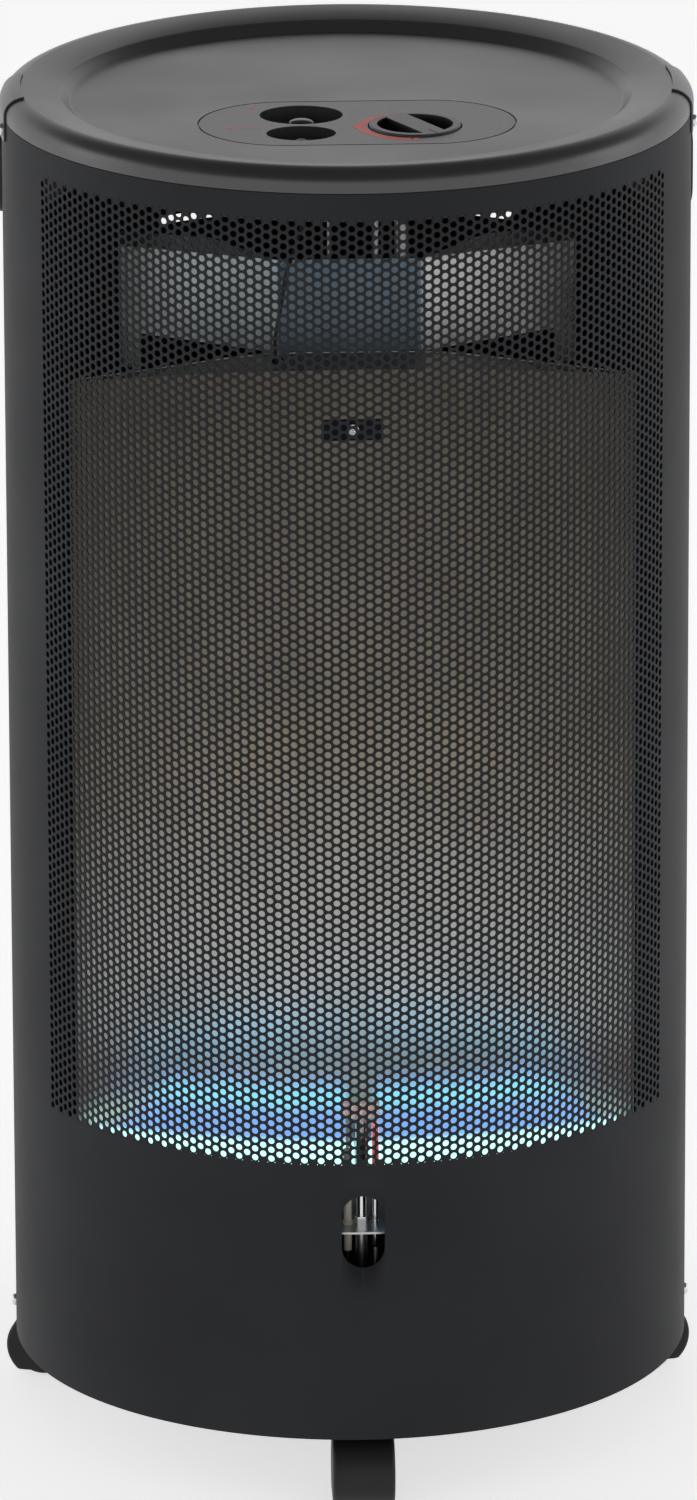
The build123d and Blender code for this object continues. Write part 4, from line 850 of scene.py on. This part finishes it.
def build_border(props):
    """The unperforated part of the front shell with the inspection slot, and its two folded edges."""
    powder = finish("black powder coat")
    sheet = plain_sheet(props)
    border = piece("front_shell_border", sheet, CABINET, powder, ("front_shell",))
    slot = stadium_loop(props.slot_width, props.slot_height)
    reach = 8
    cut(border, prism(slot, -CASE_R - reach, reach - CASE_R, lambda x, y, z: (x, z, y + props.slot_z)))
    border.data.materials.clear()
    border.data.materials.append(powder)
    thin = math.degrees(props.sheet / CASE_R)
    skin_r = CASE_R - props.sheet
    fold_r = skin_r - props.fold
    for name, side in (("left", -1), ("right", 1)):
        outer, inner = side * props.edge_az, side * (props.edge_az - thin)
        corners = ((skin_r, outer), (fold_r, outer), (fold_r, inner), (skin_r, inner))
        loop = [polar(radius, azimuth) for radius, azimuth in corners]
        mesh = upright("fold", loop, SHELL_LOW.z + props.fold_low, SEAM_Z - props.fold_high)
        piece(f"front_shell_fold_{name}", mesh, CABINET, powder, ("front_shell",))


def build_grille(props):
    """The perforated field of the front shell, in upright bands."""
    bands = 4
    stops = [round(props.columns * band / bands) for band in range(bands + 1)]
    for band in range(bands):
        mesh = grille_band(props, stops[band], stops[band + 1])
        name = f"front_grille_band_{band + 1}"
        piece(name, mesh, CABINET, finish("black powder coat"), ("front_shell",))


def lid_profile(props, lift):
    """Outer line of the lid from the seam up over the rim to the flat, as radius and height."""
    steps, belly, flat_in, bends = 14, 0.22, 8.0, [5.0, 4.0]
    crest_r, crest_z = CASE_R - props.crest_in, LID_HIGH.z
    band_z = SEAM_Z + props.band
    line = []
    for step in range(steps + 1):
        turn = math.pi / 2 * step / steps
        radius = crest_r + (props.crest_in + lift) * math.cos(turn)
        line.append((radius, band_z + (crest_z - band_z + lift) * math.sin(turn)))
    slope = (CASE_R - props.slope_in, crest_z - props.slope_drop + lift)
    middle = ((crest_r + slope[0]) / 2, crest_z - props.slope_drop * belly + lift)
    foot = (CASE_R - props.wall_in, PANEL_TOP + lift)
    inner = (foot[0] - flat_in, PANEL_TOP + lift)
    return line + rounded([middle, slope, foot, inner], bends, 8)[1:]


def build_lid(props):
    """The pressed lid with the opening for the control panel."""
    steps, play, edge = 240, 1.1, 0.5
    skirt_r = CASE_R - play
    skirt_in = skirt_r - props.sheet
    profile = [(skirt_in, LID_LOW.z), (skirt_r, LID_LOW.z), (skirt_r, SEAM_Z)]
    profile += [(CASE_R - edge, SEAM_Z), (CASE_R, SEAM_Z + edge)] + lid_profile(props, 0.0)
    back = [profile[0], (skirt_in, SEAM_Z)] + lid_profile(props, -props.sheet)
    points, faces = lathe(profile, steps)
    more, more_faces = lathe(back, steps)
    shift = len(points)
    faces += [tuple(shift + i for i in reversed(face)) for face in more_faces]
    mesh = mesh_of("lid", points + more, faces)
    made = bmesh.new()
    made.from_mesh(mesh)
    made.verts.ensure_lookup_table()
    rings = [
        [made.verts[start + (step + 1) * rows - 1] for step in range(steps)]
        for start, rows in ((0, len(profile)), (shift, len(back)))
    ]
    hole = stadium_loop(props.panel_width, props.panel_depth, 40)
    rims = []
    for ring, z in zip(rings, (PANEL_TOP, PANEL_TOP - props.sheet)):
        spots = [(x + props.panel_x, y + props.panel_y, z) for x, y in hole]
        rim = [made.verts.new(tuple(value * MM for value in spot)) for spot in spots]
        edges = []
        for loop in (ring, rim):
            pairs = zip(loop, loop[1:] + loop[:1])
            edges += [made.edges.get(pair) or made.edges.new(pair) for pair in pairs]
        bmesh.ops.triangle_fill(made, edges=edges, use_beauty=True)
        rims.append(rim)
    for i in range(len(hole)):
        j = (i + 1) % len(hole)
        made.faces.new((rims[0][i], rims[0][j], rims[1][j], rims[1][i]))
    made.to_mesh(mesh)
    made.free()
    tidy(mesh, 40.0)
    piece("top_lid_pressing", mesh, CABINET, finish("satin lid coat"), ("top_lid",))


# ---------------------------------------------------------------- controls
SINK = 0.02
# middle x and y, width and depth of the plain marks in mm
MARKS = {
    "print_spark_mark": (-55.0, -19.0, 4.4, 3.0),
    "print_start_mark": (-69.0, -64.0, 5.0, 3.4),
    "print_start_line": (-57.0, -64.0, 13.0, 1.3),
}


def ring_band(inner, reach_at, first, last, step=3):
    """A loop round the knob: a circle and an outline whose reach depends on the angle from +X."""
    near, far = [], []
    for angle in np.linspace(first, last, round((last - first) / step) + 1):
        turn = math.radians(angle)
        for line, radius in ((near, inner), (far, inner + reach_at(angle))):
            line.append((KNOB_AT.x + radius * math.cos(turn), KNOB_AT.y + radius * math.sin(turn)))
    return near + far[::-1]


def print_film(name, loop, props):
    """A printed mark: a film that lies on the panel."""
    mesh = upright(name, loop, PANEL_TOP - SINK, PANEL_TOP + props.film)
    piece(name, mesh, CABINET, finish("red print"))


def build_panel(props):
    """The control panel and its printed marks: a dial that widens anticlockwise and three plain marks."""
    coat("panel")
    thin, start, end, swell = 1.0, 92.0, 263.0, 85.0
    tip_at, tip_half = 182.0, 9.0
    bar_start, bar_end = 266.0, 272.0

    def reach(angle):
        tip = max(0.0, 1.0 - abs(angle - tip_at) / tip_half)
        broad = thin + (props.dial - thin) * min(1.0, max(0.0, (angle - start) / swell))
        return broad + (props.tip - broad) * tip

    dial_r = KNOB_R + props.dial_in
    print_film("print_dial", ring_band(dial_r, reach, start, end), props)
    print_film("print_dial_end", ring_band(dial_r, lambda angle: props.dial, bar_start, bar_end), props)
    for name, (x, y, width, depth) in MARKS.items():
        print_film(name, [(x + dx, y + dy) for dx, dy in stadium_loop(width, depth, 8)], props)


def build_knob():
    """The gas knob, its shaft and the pointer line at the end of its grip bar."""
    coat("knob")
    near, far, half, film = 15.5, 24.5, 0.55, 0.05
    turn = math.radians(-62.0)
    along, across = Vector((math.cos(turn), math.sin(turn))), Vector((-math.sin(turn), math.cos(turn)))
    corners = ((near, -half), (far, -half), (far, half), (near, half))
    loop = [tuple(KNOB_AT.xy + along * out + across * aside) for out, aside in corners]
    mesh = upright("pointer", loop, KNOB_HIGH.z - SINK, KNOB_HIGH.z + film)
    piece("knob_pointer_line", mesh, "knob", finish("black moulded plastic"))


def build_buttons():
    """The two buttons: a domed cap on a stem, each turned from one profile."""
    stem_r, tip_r, dome, chamfer, steps = 2.0, 0.2, 2.4, 0.4, 12
    for name, body, cap in (("igniter_button", "igniter_push", 14.0), ("start_button", "start_push", 7.5)):
        low, high = node_box(name)
        radius, cap_low = (high.x - low.x) / 2, high.z - cap
        profile = [(tip_r, low.z), (stem_r, low.z), (stem_r, cap_low)]
        profile += [(radius - chamfer, cap_low), (radius, cap_low + chamfer)]
        for step in range(steps + 1):
            turn = math.pi / 2 * step / steps
            profile.append((max(tip_r, radius * math.cos(turn)), high.z - dome / 2 + dome * math.sin(turn)))
        mesh = turned(name, profile, 64, ((low.x + high.x) / 2, (low.y + high.y) / 2))
        piece(f"{name}_cap", mesh, body, finish("gloss black plastic"), (name,))


# ---------------------------------------------------------------- inside
def bead(name, line, radius, steps=8):
    """A closed round bead along a line of points in mm."""
    points, faces = [], []
    for index, centre in enumerate(line):
        before, after = Vector(line[max(index - 1, 0)]), Vector(line[min(index + 1, len(line) - 1)])
        way = (after - before).normalized()
        side = way.cross(Vector((0, 0, 1))).normalized()
        lift = side.cross(way)
        for step in range(steps):
            turn = 2 * math.pi * step / steps
            points.append(tuple(Vector(centre) + (side * math.cos(turn) + lift * math.sin(turn)) * radius))
    for index in range(len(line) - 1):
        for step in range(steps):
            here, beside = index * steps + step, index * steps + (step + 1) % steps
            faces.append((here, beside, beside + steps, here + steps))
    faces.append(tuple(reversed(range(steps))))
    faces.append(tuple(range(len(points) - steps, len(points))))
    return tidy(mesh_of(name, points, faces), 50.0)


def build_reflector():
    """The reflector with the rolled edge along the back of its flange, its bracket and screw."""
    coat("reflector")
    bead_r, lift, front_in, back_in = 0.7, 0.45, 0.6, 0.8
    flat, bend_r = 50.0, 120.0
    z = REFLECTOR_HIGH.z + lift
    half_w, end_y, back_y = REFLECTOR_HIGH.x, REFLECTOR_LOW.y + front_in, REFLECTOR_HIGH.y - back_in
    corners = [(-half_w, end_y, z), (-flat, back_y, z), (flat, back_y, z), (half_w, end_y, z)]
    mesh = bead("rolled edge", rounded(corners, [bend_r, bend_r], 10), bead_r)
    piece("reflector_rolled_edge", mesh, CABINET, finish("bright nickel"))


def coat_pilot():
    """The pilot group; its head and the thermocouple glow between two heights in metres."""
    coat("pilot")
    coat_node("pilot_burner", glowing("pilot head, warm", (1.0, 0.05, 0.04, 1), 0.229, 0.236, 0.10))
    coat_node("thermocouple", glowing("thermocouple, glowing", (1.0, 0.16, 0.15, 1), 0.190, 0.215, 0.45))


def flame_lobe(props, first, last, foot):
    """One lobe of the curtain of flames: a closed sheet that thins upwards, along the burner's arc."""
    burner_depth, lean, foot_half, top_half, rows = 19.0, 4.0, 3.6, 0.4, 16
    half_w = (BURNER_HIGH.x - BURNER_LOW.x) / 2
    sag = BURNER_HIGH.y - BURNER_LOW.y - burner_depth
    arc_r = (half_w**2 + sag**2) / (2 * sag)
    centre_y = BURNER_LOW.y + burner_depth / 2 + arc_r
    columns = max(8, round(abs(last - first) / 4))
    points, faces = [], []
    for side in (-1, 1):
        for column in range(columns + 1):
            x = first + (last - first) * column / columns
            for row in range(rows + 1):
                rise = row / rows
                thick = (foot_half - top_half) * (1 - rise) + top_half
                radius = arc_r + side * thick - lean * rise
                y = centre_y - math.sqrt(radius**2 - x**2)
                points.append((x, y, foot + props.height * rise))
    wide = rows + 1
    sheet = (columns + 1) * wide
    for column in range(columns):
        for row in range(rows):
            here = column * wide + row
            there = here + wide
            faces.append((here, there, there + 1, here + 1))
            faces.append((sheet + here, sheet + here + 1, sheet + there + 1, sheet + there))
        for row in (0, rows):
            here = column * wide + row
            faces.append((here, here + sheet, here + wide + sheet, here + wide))
    for column in (0, columns):
        for row in range(rows):
            here = column * wide + row
            faces.append((here, here + 1, here + 1 + sheet, here + sheet))
    return tidy(mesh_of("flames", points, faces), 60.0)


def build_flames(props):
    """The blue flames, in two lobes beside the pilot."""
    light = flame_light(props)
    foot = BURNER_HIGH.z - 0.1
    gap_left, gap_right = props.gap_x - props.gap, props.gap_x + props.gap
    ends = {"left": (-props.half_span, gap_left), "right": (gap_right, props.half_span)}
    for name, (first, last) in ends.items():
        mesh = flame_lobe(props, first, last, foot)
        piece(f"flames_{name}", mesh, CABINET, light)


# ---------------------------------------------------------------- stage
def lamp(name, side, power):
    """A soft box that stands beside the heater and looks at its middle."""
    data = bpy.data.lights.new(name, "AREA")
    data.shape = "RECTANGLE"
    data.size, data.size_y = 1.2, 2.5
    data.energy = power
    made = bpy.data.objects.new(name, data)
    made.location = (3.0 * side, 0.2, 1.2)
    made.rotation_euler = (Vector((0, 0, 0.4)) - made.location).to_track_quat("-Z", "Y").to_euler()
    bpy.context.scene.collection.objects.link(made)


def build_stage(props):
    """Floor, camera, surrounding light and soft boxes."""
    reach = 40000.0
    corners = [(-reach, -reach, 0), (reach, -reach, 0), (reach, reach, 0), (-reach, reach, 0)]
    floor_mesh = mesh_of("floor", corners, [(0, 1, 2, 3)])
    floor = bpy.data.objects.new("floor", floor_mesh)
    bpy.context.scene.collection.objects.link(floor)
    pale = bpy.data.materials.new("pale floor")
    pale.use_nodes = True
    shader = pale.node_tree.nodes["Principled BSDF"]
    shader.inputs["Base Color"].default_value = props.floor
    shader.inputs["Roughness"].default_value = 0.8
    shader.inputs["Emission Color"].default_value = (1.0, 1.0, 1.0, 1)
    shader.inputs["Emission Strength"].default_value = props.ground
    floor_mesh.materials.append(pale)
    bpy.context.scene.view_settings.view_transform = "Standard"

    data = bpy.data.cameras.new("camera")
    data.lens = props.lens
    data.sensor_width = 36.0
    camera = bpy.data.objects.new("camera", data)
    turn = Matrix.Rotation(math.radians(props.azimuth), 4, "Z")
    tilt = Matrix.Rotation(math.radians(90 - props.pitch), 4, "X")
    roll = Matrix.Rotation(math.radians(props.roll), 4, "Z")
    move = Matrix.Translation((0, -props.distance, props.height))
    camera.matrix_world = turn @ move @ tilt @ roll
    bpy.context.scene.collection.objects.link(camera)
    bpy.context.scene.camera = camera

    world = bpy.data.worlds.new("studio")
    bpy.context.scene.world = world
    world.use_nodes = True
    tree = world.node_tree
    sky = tree.nodes["Background"]
    sky.inputs["Color"].default_value = (1.0, 1.0, 1.0, 1)
    up = split(tree, tree.nodes.new("ShaderNodeTexCoord").outputs["Generated"])["Z"]
    dim_from, dim_to = 0.36, 0.56
    strength = span(tree, up, dim_from, dim_to, props.sky, props.zenith, smooth=True)
    feed(tree, sky.inputs["Strength"], strength)
    lamp("left side", -1, props.side)
    lamp("right side", 1, props.side)


# ---------------------------------------------------------------- operators
class HEATER_OT_front_shell(bpy.types.Operator):
    """Build the plain border of the front shell with its slot and folded edges"""

    bl_idname = "heater.front_shell"
    bl_label = "Front shell"

    def execute(self, context):
        build_border(context.scene.heater_grille)
        return {"FINISHED"}


class HEATER_OT_grille(bpy.types.Operator):
    """Build the perforated field of the front shell"""

    bl_idname = "heater.grille"
    bl_label = "Grille"

    def execute(self, context):
        build_grille(context.scene.heater_grille)
        return {"FINISHED"}


class HEATER_OT_lid(bpy.types.Operator):
    """Build the pressed lid with the opening for the control panel"""

    bl_idname = "heater.lid"
    bl_label = "Lid"

    def execute(self, context):
        build_lid(context.scene.heater_lid)
        return {"FINISHED"}


class HEATER_OT_casing(bpy.types.Operator):
    """Coat the side panels, the rear door and the base pan"""

    bl_idname = "heater.casing"
    bl_label = "Side panels, door and base"

    def execute(self, context):
        coat("casing")
        return {"FINISHED"}


class HEATER_OT_straps(bpy.types.Operator):
    """Finish the two lid straps and the casing screws"""

    bl_idname = "heater.straps"
    bl_label = "Straps and screws"

    def execute(self, context):
        coat("straps")
        return {"FINISHED"}


class HEATER_OT_handles(bpy.types.Operator):
    """Finish the side grips and the door's pull"""

    bl_idname = "heater.handles"
    bl_label = "Grips and pull"

    def execute(self, context):
        coat("handles")
        return {"FINISHED"}


class HEATER_OT_door_fittings(bpy.types.Operator):
    """Finish the door's hinges and magnet catches"""

    bl_idname = "heater.door_fittings"
    bl_label = "Hinges and catches"

    def execute(self, context):
        coat("door_fittings")
        return {"FINISHED"}


class HEATER_OT_panel(bpy.types.Operator):
    """Finish the control panel and lay its printed marks"""

    bl_idname = "heater.panel"
    bl_label = "Control panel"

    def execute(self, context):
        build_panel(context.scene.heater_print)
        return {"FINISHED"}


class HEATER_OT_knob(bpy.types.Operator):
    """Finish the gas knob, its shaft and its pointer line"""

    bl_idname = "heater.knob"
    bl_label = "Gas knob"

    def execute(self, context):
        build_knob()
        return {"FINISHED"}


class HEATER_OT_buttons(bpy.types.Operator):
    """Build the igniter button and the start button"""

    bl_idname = "heater.buttons"
    bl_label = "Buttons"

    def execute(self, context):
        build_buttons()
        return {"FINISHED"}


class HEATER_OT_gas_train(bpy.types.Operator):
    """Finish the valve, the spark module, the nozzles, the pipes and the wires"""

    bl_idname = "heater.gas_train"
    bl_label = "Valve and pipes"

    def execute(self, context):
        coat("gas_train")
        return {"FINISHED"}


class HEATER_OT_reflector(bpy.types.Operator):
    """Finish the reflector and build its rolled edge"""

    bl_idname = "heater.reflector"
    bl_label = "Reflector"

    def execute(self, context):
        build_reflector()
        return {"FINISHED"}


class HEATER_OT_shield(bpy.types.Operator):
    """Finish the upper heat shield and the bay partition"""

    bl_idname = "heater.shield"
    bl_label = "Heat shield and partition"

    def execute(self, context):
        coat("shield")
        return {"FINISHED"}


class HEATER_OT_burner(bpy.types.Operator):
    """Finish the burner and its tray"""

    bl_idname = "heater.burner"
    bl_label = "Burner"

    def execute(self, context):
        coat("burner")
        return {"FINISHED"}


class HEATER_OT_pilot(bpy.types.Operator):
    """Finish the pilot burner, the electrode and the thermocouple"""

    bl_idname = "heater.pilot"
    bl_label = "Pilot group"

    def execute(self, context):
        coat_pilot()
        return {"FINISHED"}


class HEATER_OT_flames(bpy.types.Operator):
    """Build the flames over the burner"""

    bl_idname = "heater.flames"
    bl_label = "Flames"

    def execute(self, context):
        build_flames(context.scene.heater_flames)
        return {"FINISHED"}


class HEATER_OT_casters(bpy.types.Operator):
    """Finish the stems, rings, hoods, axles and wheels of the casters"""

    bl_idname = "heater.casters"
    bl_label = "Casters"

    def execute(self, context):
        coat_casters()
        return {"FINISHED"}


class HEATER_OT_stage(bpy.types.Operator):
    """Set up the floor, the camera and the lights"""

    bl_idname = "heater.stage"
    bl_label = "Stage"

    def execute(self, context):
        build_stage(context.scene.heater_stage)
        return {"FINISHED"}


STEPS = (
    HEATER_OT_front_shell,
    HEATER_OT_grille,
    HEATER_OT_lid,
    HEATER_OT_casing,
    HEATER_OT_straps,
    HEATER_OT_handles,
    HEATER_OT_door_fittings,
    HEATER_OT_panel,
    HEATER_OT_knob,
    HEATER_OT_buttons,
    HEATER_OT_gas_train,
    HEATER_OT_reflector,
    HEATER_OT_shield,
    HEATER_OT_burner,
    HEATER_OT_pilot,
    HEATER_OT_flames,
    HEATER_OT_casters,
    HEATER_OT_stage,
)


class HEATER_PT_panel(bpy.types.Panel):
    """Lists the heater's building steps."""

    bl_label = "Heater"
    bl_space_type = "VIEW_3D"
    bl_region_type = "UI"
    bl_category = "Heater"

    def draw(self, context):
        for step in STEPS:
            self.layout.operator(step.bl_idname)


SETTINGS = {
    "heater_grille": HeaterGrille,
    "heater_lid": HeaterLid,
    "heater_paint": HeaterPaint,
    "heater_print": HeaterPrint,
    "heater_flames": HeaterFlames,
    "heater_stage": HeaterStage,
}


def register():
    for made in (*SETTINGS.values(), *STEPS, HEATER_PT_panel):
        bpy.utils.register_class(made)
    for name, group in SETTINGS.items():
        setattr(bpy.types.Scene, name, PointerProperty(type=group))


def unregister():
    for name in SETTINGS:
        delattr(bpy.types.Scene, name)
    for made in reversed((*SETTINGS.values(), *STEPS, HEATER_PT_panel)):
        bpy.utils.unregister_class(made)


def main():
    register()
    for step in STEPS:
        getattr(bpy.ops.heater, step.bl_idname.split(".")[1])()


if __name__ == "__main__":
    main()
